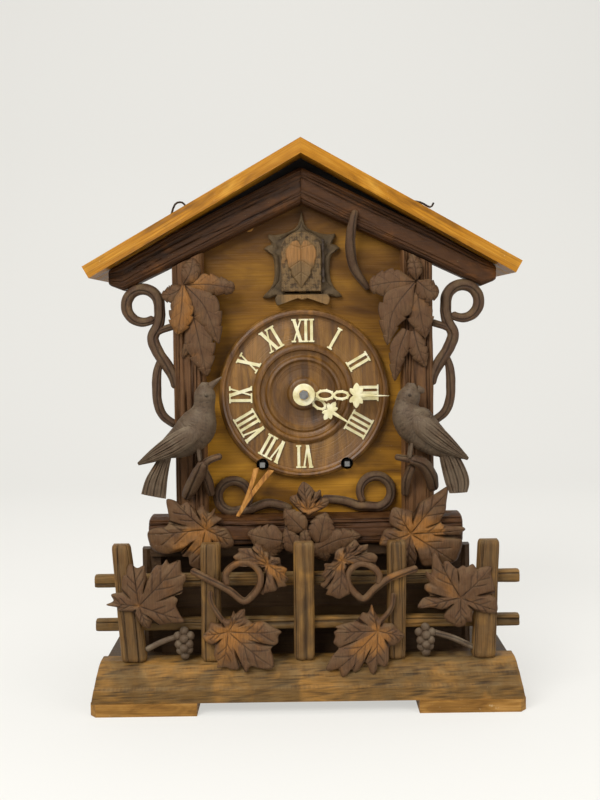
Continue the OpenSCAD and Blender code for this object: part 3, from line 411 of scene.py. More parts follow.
def tendril(path, radius, seed, ridges=3, n=40, depth=0.2):
    """A grooved stem along a path: circles of the given radius, or of radii at equal steps, less a few
    soft grooves that wind slowly about it. Its ends are rounded."""
    side, up, run = swept(path)
    share = np.linspace(0, 1, len(path))
    r = np.interp(share, np.linspace(0, 1, np.size(radius)), np.atleast_1d(radius))
    w = circle(n)
    wind = run[:, None] / 60 + seed
    cut = held(np.cos(ridges * (w + wind))) ** 6
    rough = 0.04 * waves(np.stack([run[:, None] + 0 * w, 4 * w + 0 * run[:, None]], -1), 5, seed + 3)
    end = held(np.minimum(run, run[-1] - run) / (0.8 * r))
    cap = np.sqrt(np.clip(1 - (1 - end) ** 2, 0.02, 1))[:, None]
    reach = r[:, None] * (1 - depth * cut + rough) * cap
    # the groove mark paints shade into the winding grooves
    return {"rings": ovals(path, side, up, w, reach, reach), "groove": cut, "high": held(0.8 - cut),
            "tone": 0.4}


def limb(path, across, deep, seed, n, tone, feather=0.0, pitch=3.0):
    """A body along a path with an elliptical section, across in the XZ plane and deep along Y, each
    given at a few points and eased between. Feathers are rows of low scales, offset row by row."""
    at = np.linspace(0, 1, len(path))
    side, up, run = swept(path)
    run = run[:, None]
    w = circle(n)
    scale = (run / pitch + 0.5 * (np.floor(w / (2 * np.pi) * 18) % 2)) % 1
    # scale grooves, cut into the surface; their mark also paints shade into them
    groove = held((scale - 0.72) / 0.28) * (feather > 0)
    bump = 1 - feather * groove + 0.015 * waves(np.stack([run + 0 * w, 8 * w + 0 * run], -1), 4, seed)
    rings = ovals(path, side, up, w, eased(across, at)[:, None] * bump, eased(deep, at)[:, None] * bump)
    return {"rings": rings, "groove": 0.7 * groove, "high": 0.4, "tone": tone}


def ribbed(path, across, thick, tone, depth, fade):
    """A wing or tail: a flat oval section whose two faces carry long feather grooves, seven cosine
    ridges across it that start a little way from the shoulder, and whose end is notched by them."""
    at = np.linspace(0, 1, len(path))
    across, thick = eased(across, at)[:, None], eased(thick, at)[:, None]
    side, up, _ = swept(path)
    at, w, ribs = at[:, None], circle(72), 7
    # the feather grooves cut the faces, and their mark paints shade into them
    cut = held(np.cos(ribs * np.pi * np.cos(w))) ** 4 * held((at - fade) / 0.3)
    notch = 1 - 0.5 * depth * cut * held((at - 0.9) / 0.1)
    rows = held(np.cos(at * 40 + 2 * np.cos(w) * 3)) ** 8 * np.clip(0.5 - at, 0, 0.5) * 0.5
    rings = ovals(path, side, up, w, across * notch, thick * (1 - depth * cut - rows))
    return {"rings": rings, "groove": held(cut + rows), "high": held(0.8 - cut), "tone": tone}


def plate(outline, centre, relief, y_front, y_back, rings, bevel):
    """A flat carved plate: rings that shrink from an outline to its centre in XZ. relief gives the
    height in mm over the front at each [x, z]; the last bevel mm at the edge are rounded over."""
    s = np.concatenate([np.linspace(0.02, 0.92, rings), np.linspace(0.94, 1, 5)])[:, None, None]
    flat = centre + s * (outline - centre)
    edge = np.linalg.norm(outline - centre, axis=-1)[None, :] * (1 - s[..., 0])
    height = relief(flat) - bevel * (1 - np.sqrt(held(1 - (1 - held(edge / bevel)) ** 2)))
    front = np.stack([flat[..., 0], y_front - height, flat[..., 1]], -1)
    back = np.insert(outline, 1, y_back, axis=1)[None]
    near = front[:1] * [1, 0, 1] + Y * y_back
    return np.concatenate([front, back, near], 0), np.vstack([height, np.zeros((2, len(outline)))])


def frame_band(outer, inner, profile, y_face):
    """A moulding that fills the band between two outlines of as many points: profile gives
    [share across, height] and the last point returns under the first."""
    rows = [np.insert(outer + (inner - outer) * s, 1, y_face - h, axis=1) for s, h in profile]
    return np.stack(rows, 1)


# ---------------------------------------------------------------- finishes

def add(tree, kind, *values, out=0, stops=None, **settings):
    """Adds a node with its settings, then its values or links in the order of the sockets it shows,
    and a ramp's stops. Gives back one of its outputs."""
    node = tree.nodes.new("ShaderNode" + kind)
    for key, value in settings.items():
        setattr(node, key, value)
    if stops:
        ramp = node.color_ramp.elements
        while len(ramp) < len(stops):
            ramp.new(0.5)
        for element, (place, colour) in zip(ramp, stops):
            element.position, element.color = place, linear(colour)
    for socket, value in zip([s for s in node.inputs if s.enabled], values):
        if isinstance(value, bpy.types.NodeSocket):
            tree.links.new(value, socket)
        elif value is not None:
            socket.default_value = linear(value) if isinstance(value, str) else value
    return [s for s in node.outputs if s.enabled][out] if len(node.outputs) else node


def streaks(tree, place, along, width, length, detail=5.0, warp=0.0):
    """Streaks of the given width and length in mm that run along one axis."""
    scale = [1000 / width] * 3
    scale["xyz".index(along)] = 1000 / length
    laid = add(tree, "Mapping", place, None, None, scale)
    return add(tree, "TexNoise", laid, 1.0, detail, 0.6, 2.0, warp)


def patches(tree, place, size, low, high, detail=3.0):
    """Patches of about the given size in mm: a noise sharpened between two of its levels."""
    noise = add(tree, "TexNoise", place, 1000 / size, detail)
    return add(tree, "MapRange", noise, low, high, interpolation_type="SMOOTHSTEP")


def lay(tree, colour, over, value, low=0.0, high=1.0, strength=1.0):
    """Lays one colour over another, up to a strength, as a value climbs from low to high."""
    share = add(tree, "MapRange", value, low, high, 0.0, strength)
    return add(tree, "Mix", share, colour, over, data_type="RGBA")


def finish(name, build, **settings):
    """A material from a function that gives back its colour, roughness and height, and how far in m
    that height stands out. Gives back the material and its shader."""
    material = bpy.data.materials.new(name)
    material.use_nodes = True
    tree = material.node_tree
    tree.nodes.clear()
    place = add(tree, "TexCoord", out=3)
    colour, rough, height, depth = build(tree, place, **settings)
    shader = add(tree, "BsdfPrincipled", colour).node
    tree.links.new(rough, shader.inputs["Roughness"])
    tree.links.new(add(tree, "Bump", 1.0, depth, None, height), shader.inputs["Normal"])
    add(tree, "OutputMaterial", shader.outputs[0])
    return material, shader


def varnished_board(tree, place, light, mid, dark, along, figure, bare=None, rubbed=0.0, rough=0.36,
                    streak=0.5, gap_shadow_height=None, pitched=False):
    """Sawn softwood under old shellac: honey streaks of the grain, cloudy figure across it, grime, a
    few specks of plaster, bare pale wood where it has been rubbed. Given the height in m of the gap under
    the roof, it carries painted shade that deepens towards the gable and a painted black shadow in the
    gap. Pitched grain runs down both slopes of the roof."""
    if pitched:
        axes = add(tree, "SeparateXYZ", place).node.outputs
        folded = add(tree, "CombineXYZ", add(tree, "Math", axes[0], operation="ABSOLUTE"), axes[1], axes[2])
        place = add(tree, "Mapping", folded, None, (0, -SLOPE, 0), None)
    fibre = streaks(tree, place, along, 0.9, 70, 6)
    cloud = streaks(tree, place, along, figure, figure * 4.5, 3, 0.9)
    colour = add(tree, "ValToRGB", cloud, stops=[(0.32, dark), (0.5, mid), (0.68, light)])
    colour = lay(tree, colour, dark, fibre, 0.44, 0.68, streak)
    colour = lay(tree, colour, "#3A2712", patches(tree, place, 30, 0.55, 0.75), strength=0.35)
    if bare:
        worn = patches(tree, place, 8, 1 - rubbed, 1.05 - rubbed, 6)
        colour = lay(tree, colour, bare, worn, strength=0.8)
    colour = lay(tree, colour, "#D8C79A", patches(tree, place, 1.6, 0.73, 0.78, 2), strength=0.4)
    if gap_shadow_height:
        axes = add(tree, "SeparateXYZ", place).node.outputs
        level = add(tree, "Math", add(tree, "Math", axes[0], operation="ABSOLUTE"), RAFTER_PITCH, axes[2],
                    operation="MULTIPLY_ADD")
        # painted shade: the panel darkens towards the gable, and above the given height a painted black
        # shadow fills the gap under the roof
        colour = lay(tree, colour, dark, level, 0.27, 0.38, 0.6)
        colour = lay(tree, colour, "#0C0805", level, gap_shadow_height, gap_shadow_height + 0.002)
    return colour, add(tree, "MapRange", cloud, 0.3, 0.7, rough, rough + 0.2), fibre, 0.0004


def carved_wood(tree, place, stain, worn, dust, deep, fibre=0.9, warm=0.5, dust_and_highlight=0.6, stipple=0.5, along="z"):
    """Carved wood, stained and never dusted: painted shade in the cuts, orange brown where the stain has
    rubbed off, and grey dust on the high places, laid on more where a face looks up as a painted
    highlight. The piece's marks give the cuts, the high places and its warmth; fibre and stipple are the
    widths in mm of the grain and of the tool's pits."""
    high, cut, tone = (add(tree, "Attribute", out=2, attribute_name=mark)
                       for mark in ("high", "groove", "tone"))
    line = streaks(tree, place, along, fibre, fibre * 22, 6, 0.6)
    cloud = add(tree, "TexNoise", place, 1000 / 26, 4.0, 0.5, 2.0, 0.7)
    rubbed = add(tree, "Math", add(tree, "Math", tone, 0.3, warm - 0.65, operation="MULTIPLY_ADD"), cloud)
    rubbed = add(tree, "MapRange", rubbed, 0.44, 0.72, interpolation_type="SMOOTHSTEP")
    colour = lay(tree, stain, worn, rubbed)
    colour = lay(tree, colour, deep, line, 0.42, 0.7, 0.45)
    # painted shade: the deep colour laid into the cuts, creases and rims of the carving; on a bird's eye it
    # is the eye's own dark
    colour = lay(tree, colour, deep, cut, strength=0.85)
    # grey dust on the high places, stronger where a face looks up: partly real dust, partly a painted
    # highlight from the light above
    up = add(tree, "SeparateXYZ", add(tree, "NewGeometry", out=1), out=2)
    grey = add(tree, "Math", patches(tree, place, 9, 0.38, 0.66, 6),
               add(tree, "MapRange", up, 0.0, 1.0, 0.3, 1.0), operation="MULTIPLY")
    grey = add(tree, "Math", grey, add(tree, "MapRange", high, 0.0, 1.0, 0.45 * dust_and_highlight, dust_and_highlight),
               operation="MULTIPLY")
    colour = add(tree, "Mix", grey, colour, dust, data_type="RGBA")
    colour = lay(tree, colour, "#B9AB86", patches(tree, place, 1.3, 0.74, 0.79, 2), strength=0.35)
    pores = add(tree, "TexNoise", place, 1000 / stipple, 3.0)
    height = add(tree, "Math", line, 0.6, pores, operation="MULTIPLY_ADD")
    return colour, add(tree, "MapRange", grey, 0.0, 0.7, 0.46, 0.85), height, 0.0005


def turned_beech(tree, place):
    """Beech turned on a lathe and stained: straight grain across the disc, fine tool rings about its
    centre, and painted shade in the hollows of its profile."""
    figure = streaks(tree, place, "z", 9, 60, 4, 1.0)
    fibre = streaks(tree, place, "z", 0.7, 30, 5)
    colour = add(tree, "ValToRGB", figure, stops=[(0.3, "#4E3210"), (0.5, "#74501C"), (0.7, "#966C2E")])
    colour = lay(tree, colour, "#4A2D14", fibre, 0.45, 0.7, 0.4)
    centred = add(tree, "Mapping", place, (0, 0, -CENTRE[1] * 0.001), None, (1, 0, 1))
    radius = add(tree, "VectorMath", centred, operation="LENGTH")
    rings = add(tree, "TexNoise", add(tree, "Math", radius, 1100.0, operation="MULTIPLY"), 1.0, 3.0,
                noise_dimensions="1D")
    # painted shade in the hollows of the turned profile, multiplied in; the ramp spans 80 mm from the centre
    shade = add(tree, "ValToRGB", add(tree, "Math", radius, 1 / 0.08, operation="MULTIPLY"), stops=[
        (0.0, "#FFFFFF"), (0.3, "#8C6A48"), (0.42, "#E8DCC8"), (0.5, "#B89C78"), (0.56, "#FFFFFF"),
        (0.8, "#F4E6CC"), (0.86, "#C8A880"), (0.9, "#FFFFFF")])
    colour = add(tree, "Mix", 0.55, colour, shade, data_type="RGBA", blend_type="MULTIPLY")
    colour = lay(tree, colour, "#3E2712", patches(tree, place, 12, 0.55, 0.75), strength=0.4)
    return colour, add(tree, "MapRange", figure, 0.3, 0.7, 0.34, 0.5), rings, 0.0004


def fretted_bone(tree, place):
    """Bone cut with a fretsaw: cream, yellower in patches, with short dark pores along it."""
    cloud = add(tree, "TexNoise", place, 1000 / 8, 4.0)
    colour = add(tree, "ValToRGB", cloud, stops=[(0.3, "#C9BC86"), (0.5, "#DDD3A4"), (0.7, "#EAE3C2")])
    pores = streaks(tree, place, "z", 0.5, 3.0, 2)
    colour = lay(tree, colour, "#8C7A4C", pores, 0.66, 0.74, 0.5)
    return colour, add(tree, "MapRange", cloud, 0.0, 1.0, 0.38, 0.55), pores, 0.0002


def aged_metal(tree, place, bright, dull, rough=0.3, tarnish=0.4):
    """Rolled or turned metal: a fine brushed line, dulled and stained in patches by age."""
    line = streaks(tree, place, "y", 0.25, 12, 3)
    stain = patches(tree, place, 6, 0.45, 0.7, 5)
    colour = lay(tree, bright, dull, stain, strength=tarnish)
    return colour, add(tree, "MapRange", stain, 0.0, 1.0, rough, rough + 0.25), line, 0.0001


def matt_paper(tree, place):
    """Matt background paper, faintly mottled."""
    cloud = add(tree, "TexNoise", place, 1.2, 1.0)
    colour = lay(tree, bpy.context.scene.clock_colours.paper_hex, "#C9CBC2", cloud, strength=0.12)
    return colour, add(tree, "MapRange", cloud, 0.0, 1.0, 0.85, 0.95), cloud, 0.0001


def paper_seen_lighter():
    """The paper's finish, with a glow that only the eye, metal and glass see: its shadow stays."""
    material, shader = finish("matt_paper_sweep", matt_paper)
    tree = material.node_tree
    path = add(tree, "LightPath").node
    seen = add(tree, "Math", path.outputs["Is Camera Ray"], path.outputs["Is Glossy Ray"])
    seen = add(tree, "Math", seen, path.outputs["Is Transmission Ray"], use_clamp=True)
    glow = add(tree, "Math", seen, bpy.context.scene.clock_stage.glow, operation="MULTIPLY")
    lamp = add(tree, "Emission", "#E6E5E0", glow)
    both = add(tree, "AddShader", shader.outputs[0], lamp)
    tree.links.new(both, tree.nodes["Material Output"].inputs[0])
    return material


FINISH = {}


def make_finishes():
    """Every finish of the clock, from the panel's colours."""
    c = bpy.context.scene.clock_colours
    boards = {
        # honey shellac over spruce: it glows through the streaks, cloudy, duller where it is thin; painted
        # shade towards the gable and a painted shadow in the gap under the roof
        "panel": ("shellacked_spruce_panel", dict(
            light="#BC8626", mid="#8C5F16", dark="#4E300C", along="x", figure=34, streak=0.3, gap_shadow_height=0.442)),
        # the roof's shellac is yellower and rubbed through to bare wood along the edges
        "roof": ("shellacked_spruce_roof", dict(
            light=c.honey_hex, mid=c.amber_hex, dark=c.shade_hex, along="x", figure=16, pitched=True,
            bare="#C09A52", rubbed=0.2)),
        # split softwood, never varnished: pale, dull and long-grained
        "strip": ("split_spruce", dict(
            light="#C89250", mid="#AC7636", dark="#7A4E22", along="z", figure=7, rough=0.6)),
        # the feet have worn pale and dull from being stood on
        "feet": ("shellacked_spruce_feet", dict(
            light="#B98A4A", mid="#9A6E32", dark="#6E4A1E", along="x", figure=9, bare="#C4A67A",
            rubbed=0.34, rough=0.5)),
        # bare boards at the sides and back, gone brown with smoke
        "board": ("smoked_spruce_board", dict(
            light="#9C743C", mid="#835E2E", dark="#5A3D1C", along="z", figure=16, rough=0.6))}
    carved = {
        # oak cut with a gouge to look like bark: near black painted shade in the cuts, red brown between
        "bark": ("hewn_oak_rafter", dict(
            stain=c.bark_hex, worn="#84501E", dust="#6E4A24", deep="#180C04", fibre=1.1, warm=0.4,
            dust_and_highlight=0.4, along="x")),
        # the same, upright and less dark
        "upright": ("hewn_oak_column", dict(
            stain="#744F2E", worn="#9A6C3C", dust="#8C6E48", deep="#2A180C", fibre=1.1, warm=0.36,
            dust_and_highlight=0.42)),
        # the log and the fence are lighter than the case, with more grey dust and painted highlight
        "log": ("hewn_spruce_log", dict(
            stain="#72542A", worn="#9C7034", dust=c.dust_hex, deep="#2E2114", fibre=1.2, warm=0.5,
            along="x")),
        "post": ("hewn_spruce_post", dict(
            stain="#7C5A30", worn="#A67A3C", dust=c.dust_hex, deep="#2A1D12", fibre=1.0, warm=0.46)),
        # limewood leaves: a grey brown stain over orange wood
        "leaf": ("carved_limewood_leaf", dict(
            stain="#60432A", worn=c.worn_hex, dust="#867050", deep="#1A0E06", warm=0.46, dust_and_highlight=0.42)),
        # the stems are greyer, with more grey dust and painted highlight on their ridges
        "stem": ("carved_limewood_stem", dict(
            stain="#553E2C", worn="#7A5632", dust=c.dust_hex, deep="#20150E", warm=0.4, dust_and_highlight=0.5)),
        # the birds carry the most grey dust and painted highlight, with the pits of a fine tool
        "bird": ("carved_limewood_bird", dict(
            stain="#5C4A38", worn="#7C5A3A", dust="#8A7C66", deep="#2A2018", fibre=0.7, warm=0.36,
            dust_and_highlight=0.7, stipple=0.9)),
        # the door's stain is rubbed back to orange wood on the leaf; its frame stays brown
        "door": ("carved_limewood_door", dict(
            stain="#6E5636", worn="#94693A", dust="#806844", deep="#2A1D10", fibre=0.8, warm=0.5,
            dust_and_highlight=0.45, stipple=0.8)),
        "frame": ("carved_limewood_frame", dict(
            stain="#5A4830", worn="#8A683C", dust="#7E6C4E", deep="#20160C", fibre=0.8, warm=0.42,
            dust_and_highlight=0.55)),
        # boards of the plinth and base, in a near black brown that is painted shade of the recess behind the
        # fence
        "dark": ("spruce_plinth_painted_shade", dict(
            stain="#46301A", worn="#644620", dust=c.dust_hex, deep="#1A110A", fibre=1.4, warm=0.4,
            dust_and_highlight=0.35, along="x"))}
    metals = {
        # lacquered brass of the works, gone brown in patches
        "brass": ("aged_brass", dict(bright="#C9A24E", dull="#7A5A26")),
        # bare steel, dulled
        "steel": ("dull_steel", dict(bright="#8C8C8A", dull="#4A4440", rough=0.42)),
        # black wire with rust on it
        "iron": ("rusted_wire", dict(bright="#4A4038", dull="#2A1E16", rough=0.6, tarnish=0.7))}
    for group, build in ((boards, varnished_board), (carved, carved_wood), (metals, aged_metal)):
        for key, (name, settings) in group.items():
            FINISH[key], shader = finish(name, build, **settings)
            if group is metals:
                shader.inputs["Metallic"].default_value = 1.0
            else:
                shader.inputs["Specular IOR Level"].default_value = 0.2
    FINISH["dial"] = finish("turned_beech_dial", turned_beech)[0]
    FINISH["bone"] = finish("fretted_bone", fretted_bone)[0]


# Finish of every node that keeps its solid, and of any that a piece then hides
NODE_FINISH = {
    "panel": ["front_board"], "roof": ["roof_left", "roof_right"], "feet": ["feet"], "strip": ["loose_strip"],
    "board": ["sides", "back_board", "back_door", "seat_board", "bird_shelf", "whistles", "bellows_left",
              "bellows_right"],
    "bark": ["cross_log", "rafters"], "upright": ["columns", "gable_branch"],
    "log": ["base_log", "fence_rails"], "post": ["fence_posts"],
    "leaf": ["upper_leaves", "lower_leaves", "leaf_centre", "fence_leaves", "grapes"],
    "stem": ["scrolls", "vines", "perches", "fence_sprigs"], "bird": ["bird_left", "bird_right", "cuckoo"],
    "door": ["cuckoo_door"], "frame": ["door_frame", "door_button"], "dark": ["plinth", "base_box"],
    "dial": ["dial"],
    "bone": ["numerals", "minute_hand", "hour_hand"],
    "brass": ["front_plate", "back_plate", "going_barrel", "strike_barrel", "intermediate_wheel",
              "centre_wheel", "third_wheel", "escape_wheel", "pendulum", "pin_wheel", "fly",
              "minute_wheel", "hour_wheel", "gong_hammer"],
    "steel": ["going_arbor", "strike_arbor", "pallets", "gong"], "iron": ["roof_hooks"],
}


# ---------------------------------------------------------------- pieces

# Leaves lobe by lobe, x and z in mm: [mid line], [half widths], level over the plane, warmth
UPPER_LEFT = (
    ([(-92, 308), (-97, 296), (-100.5, 288)], [2, 3.6, 3.4, 1.4], 0.4, 0.1),
    ([(-91, 324), (-85.5, 298), (-80.5, 272.5)], [5, 9, 12.6, 12, 8, 2], 0.9, 0.2),
    ([(-97, 348), (-79, 348.5), (-56, 345)], [1.5, 5.5, 9.6, 8.6, 7, 4.6], 1.2, 0.6),
    ([(-98, 347), (-108, 341), (-117, 340.5)], [1.5, 6, 8, 6.6, 2.5], 1.4, 0.35),
    ([(-97, 348), (-81, 330), (-70, 299.5)], [1.5, 6, 11.6, 12.4, 9.5, 6, 1.5], 2.4, 0.3),
    ([(-98.4, 348), (-100, 328), (-104, 307.5)], [1.5, 5.6, 9.8, 10.4, 8.6, 2.5], 4.2, 1.0),
    ([(-98, 349.5), (-92, 359), (-90, 370.5)], [1.5, 6.6, 8, 6.8, 2.6], 3.4, 0.6))
UPPER_RIGHT = (
    ([(92, 308), (95.5, 293), (102, 277.5)], [3.5, 6.5, 8, 6.2, 1.4], 0.6, 0.1),
    ([(86, 309), (78.5, 289), (76, 266.5)], [4, 7.6, 8.4, 6.6, 4.6, 1.4], 1.0, 0.15),
    ([(93, 348.5), (75.5, 348.5), (55.3, 345)], [1.5, 6, 11, 11.4, 9.4, 5.5], 1.2, 0.45),
    ([(94.5, 347.5), (97, 324), (101.7, 301.5)], [1.5, 5, 9.6, 11.2, 8, 1.5], 1.6, 0.75),
    ([(92.5, 347.5), (74.5, 324), (69.8, 296.5)], [1.5, 7.5, 13, 13.2, 9.5, 5.5, 1.5], 3.4, 0.35),
    ([(95, 349), (104, 341), (113, 339.5)], [1.5, 7.6, 9.6, 8.6, 3.5], 4.0, 0.2),
    ([(94.3, 350.5), (93, 361), (90.5, 371.3)], [1.5, 5.4, 6.2, 5, 1.4], 1.8, 0.3))
MIDDLE = (
    ([(9, 134), (13.5, 126), (17, 117)], [4, 8, 9.5, 8.5, 5, 1.5], 0.3, 0.2),
    ([(-25, 140), (-29, 130), (-30.5, 119)], [5, 9, 10.4, 9.4, 6, 1.5], 0.3, 0.2),
    ([(9, 128), (26.5, 136), (46, 138.8)], [5, 9, 10, 8.6, 6, 1.5], 1.2, 0.5),
    ([(-20, 136), (-32.5, 138), (-48.5, 142)], [6, 11, 12, 10.4, 7, 2], 1.3, 0.4),
    ([(-7.6, 127), (-12.6, 137), (-16.2, 147.5)], [5, 7.8, 8.2, 6.8, 4.6, 1.6], 2.4, 0.3),
    ([(11, 134), (13.5, 146), (16.8, 159)], [5, 10, 11.4, 10.4, 7, 1.6], 2.4, 0.35),
    ([(0, 143), (-9, 152.5), (-17.8, 162)], [2, 7.4, 9.4, 8.8, 6, 1.6], 3.4, 0.6),
    ([(0.6, 131), (-0.8, 140), (-2, 148)], [3.6, 4.8, 4.6, 3.4, 1.4], 3.6, 0.2))
# Leaves as [junction], [edge], [tips of the lobes], x and z in mm
MIDDLE_TOP = ((1.5, 161), [
    (-1.9, 184.6), (-5.4, 179.9), (-7.2, 174.5), (-11.9, 172.8), (-12.9, 169.4), (-9.5, 164.7), (-4.3, 159.4),
    (2.2, 155.5), (8.1, 158.9), (13.9, 161.5), (18.6, 165), (19.2, 170), (13.9, 171.7), (12.6, 177.6),
    (8.6, 175.8), (5.7, 179.6), (2.2, 182.8)], [(-1.9, 184.4), (-12.4, 170.5), (19, 168.5), (12, 177)])
LOWER_LEFT = ((-83, 146), [
    (-60, 135), (-62, 139.6), (-64.2, 144.3), (-66.5, 146.5), (-71, 148), (-75, 150.5), (-69, 154),
    (-75, 158), (-75, 163.5), (-80, 159.5), (-84.5, 165.3), (-87, 165.5), (-91, 162), (-97, 168.5),
    (-100, 168.5), (-103.5, 166.5), (-107.5, 170), (-115, 171.5), (-114, 161), (-113, 155), (-116, 149),
    (-126, 147.5), (-131.5, 143.5), (-130, 134), (-126, 128), (-117, 125), (-105, 127), (-103, 123),
    (-98, 122.5), (-97, 116), (-91, 113), (-84, 114), (-77, 122), (-74, 129), (-66, 129), (-61, 131)],
    [(-60, 135), (-80, 164), (-112, 171), (-131, 142), (-91, 113)])
LOWER_RIGHT = ((87, 140), [
    (132.5, 143), (128.8, 145.5), (117, 146.5), (112, 150), (116, 158), (117, 166), (118.5, 176),
    (118, 179.3), (110, 174.5), (103.5, 170.5), (98.7, 168.5), (93, 164), (91, 157.5), (87.5, 159),
    (80, 161), (73, 162), (69.7, 156), (69.5, 149), (73, 145), (67, 144), (64, 141), (61, 131.5), (65, 129),
    (75, 127), (78, 113), (83, 110), (90, 113), (93, 120), (98, 112), (111, 113), (124, 115.5), (128, 123),
    (130, 131), (129, 139)],
    [(132, 142), (118, 179), (74, 162), (61, 132), (82, 110), (124, 116)])
FENCE_LEFT = ((-136, 89), [
    (-98, 109), (-97.5, 114), (-101, 116), (-102, 125.5), (-107, 124.5), (-111, 123), (-113, 126.5),
    (-117, 122), (-121, 122), (-125, 117.5), (-128.5, 110), (-130.5, 118), (-131.5, 122), (-137, 120),
    (-142.2, 123.6), (-145, 120), (-146, 115), (-148.5, 113), (-150, 103), (-149, 100.5), (-158.5, 98.5),
    (-157, 93), (-163, 89.7), (-154, 87.5), (-153.5, 85), (-145, 84), (-140, 83), (-136.5, 76),
    (-133.5, 72), (-128, 70), (-125.5, 76), (-120.5, 72.5), (-111.5, 74), (-100, 75), (-103, 81.5),
    (-106, 88.5), (-104.5, 93.5), (-107, 97), (-101, 99), (-100, 106)],
    [(-101, 124), (-140, 123), (-161, 92), (-130, 71), (-101, 76)])
FENCE_RIGHT = ((124.5, 92), [
    (152.5, 96), (151.5, 103), (149.5, 112), (150, 117), (141, 116.5), (138.5, 115), (134.5, 119.5),
    (130, 117), (126.5, 118.5), (122, 116), (118.5, 118.5), (115, 122), (111.5, 122), (110, 120),
    (105, 127.5), (102.9, 129), (101.3, 125), (101.5, 118.8), (100.7, 112), (96.5, 114), (97, 109),
    (99.3, 104.5), (96, 103), (95.5, 99), (100, 94), (94, 91.5), (90, 84), (101, 84), (108.5, 82.5),
    (114, 83), (111, 77), (113.5, 73), (118, 70), (122.5, 67.5), (128, 68.5), (129.5, 71.5), (134, 72),
    (135, 81), (145, 79), (154, 80), (153.5, 90), (149, 94.5)],
    [(150, 116), (103, 128), (91, 86), (124, 68), (153, 81)])
LOW_LEFT = ((-64, 67), [
    (-21, 66.5), (-27.5, 70.5), (-36, 75), (-42, 74.5), (-44.5, 74), (-50, 78.5), (-50, 84.5),
    (-51.5, 85.2), (-55, 84), (-58, 81.5), (-59.5, 84), (-62, 78.5), (-64.5, 77), (-68.5, 78.5),
    (-69.5, 73.5), (-78.5, 74.5), (-80, 69.5), (-85, 63.4), (-80, 57.5), (-75, 56), (-76, 48), (-73, 42),
    (-73.5, 38), (-66.5, 38.5), (-63, 37), (-57.5, 36.5), (-54, 39.5), (-50.2, 34), (-46, 39), (-37, 37),
    (-28.5, 37.5), (-27.5, 45), (-29.5, 53), (-24, 57.5), (-23.5, 63)],
    [(-21.5, 65), (-52, 85), (-84, 64), (-68, 37), (-30, 38)])
LOW_RIGHT = ((57, 66), [
    (78.5, 62.5), (72.5, 68), (69.5, 71.5), (65, 72), (61, 73), (60.5, 75.5), (57.5, 77.5), (54.5, 83),
    (52.5, 87.5), (51, 84), (49, 80.5), (45.5, 81), (43.5, 79), (39.5, 74.5), (31, 72.5), (23, 70),
    (24.5, 68), (21.5, 65.5), (22.5, 62), (21, 57), (25, 52.5), (20, 46.5), (14.7, 36.5), (18, 34.5),
    (25, 35.5), (27, 30), (30, 30), (35, 35), (38, 33), (43.5, 37), (46, 41), (48.5, 38.5), (50, 34),
    (53, 31), (55.7, 34), (56.5, 39), (62, 37), (65.5, 42), (66.5, 53), (71, 54.5), (77.5, 59.5)],
    [(78, 62), (52.5, 87.5), (22, 66), (24, 34), (56, 35)])
SPRIGS = (
    ((-31, 121.5), [
        (-61, 121), (-57.5, 125), (-59, 128.5), (-54.5, 132), (-55, 135), (-49.5, 135.5), (-43.7, 135.5),
        (-41, 139), (-36.5, 137), (-34, 132.5), (-31.6, 131.5), (-29, 128.5), (-25.4, 127.5),
        (-21.2, 126.5), (-20.5, 121), (-15.7, 117.5), (-17.3, 113), (-14.5, 109.5), (-17.4, 106.5),
        (-16.4, 103.5), (-22, 102.8), (-26, 99.6), (-32, 98.6), (-37.5, 97), (-36.5, 101), (-33.5, 107),
        (-33, 113), (-36, 118.5), (-42, 121.5), (-50, 120.5)], [(-60.5, 122), (-55, 134.5), (-40.5, 138.5),
        (-22, 126), (-15, 110), (-36.5, 97.5)]),
    ((29, 124), [
        (58.5, 115.5), (56, 121), (57.5, 126.4), (54, 130), (49.2, 131), (50, 137), (44, 136.4),
        (39.8, 141), (36, 138.5), (32.2, 135), (29, 134.5), (23.5, 131.5), (22.8, 126.8), (20, 122),
        (14.5, 121.5), (14.8, 117), (12, 112.5), (15, 108), (11, 104.4), (13.4, 102), (16.9, 100.4),
        (15.4, 96.5), (20.5, 95.2), (25.8, 92.8), (31.2, 95), (35, 97.5), (31, 104), (30, 111), (32, 117),
        (37, 121), (45, 121), (52, 118.5)],
     [(58, 116.5), (55, 130), (50, 136.6), (40, 140.5), (23, 131), (12.5, 113), (11.5, 104), (27, 93.5)]))


def under_roof(x):
    """Height of the roof boards' underside."""
    return RIDGE_UNDER - abs(x) * math.tan(SLOPE)


def lobed(lobes, plane, seed):
    """A leaf of lobes that lie over one another."""
    return [lobe(path, widths, plane, level, tone, seed + i)
            for i, (path, widths, level, tone) in enumerate(lobes)]


def make_leaves():
    """The five vine leaves on the case: two above, two at the cross log's ends and one in its middle."""
    upper = lobed(UPPER_LEFT, CARVED_Y, 10) + lobed(UPPER_RIGHT, CARVED_Y, 30)
    piece("leaves_upper", upper, "leaf", ["upper_leaves"])
    lower = [leaf(*LOWER_LEFT, CROSS_FRONT, 8, 3, 0.45), leaf(*LOWER_RIGHT, CROSS_FRONT, 8, 4, 0.4)]
    piece("leaves_lower", lower, "leaf", ["lower_leaves"])
    middle = lobed(MIDDLE, CROSS_FRONT, 50) + [leaf(*MIDDLE_TOP, CROSS_FRONT - 0.6, 6, 5, 0.6)]
    piece("leaves_middle", middle, "leaf", ["leaf_centre"])


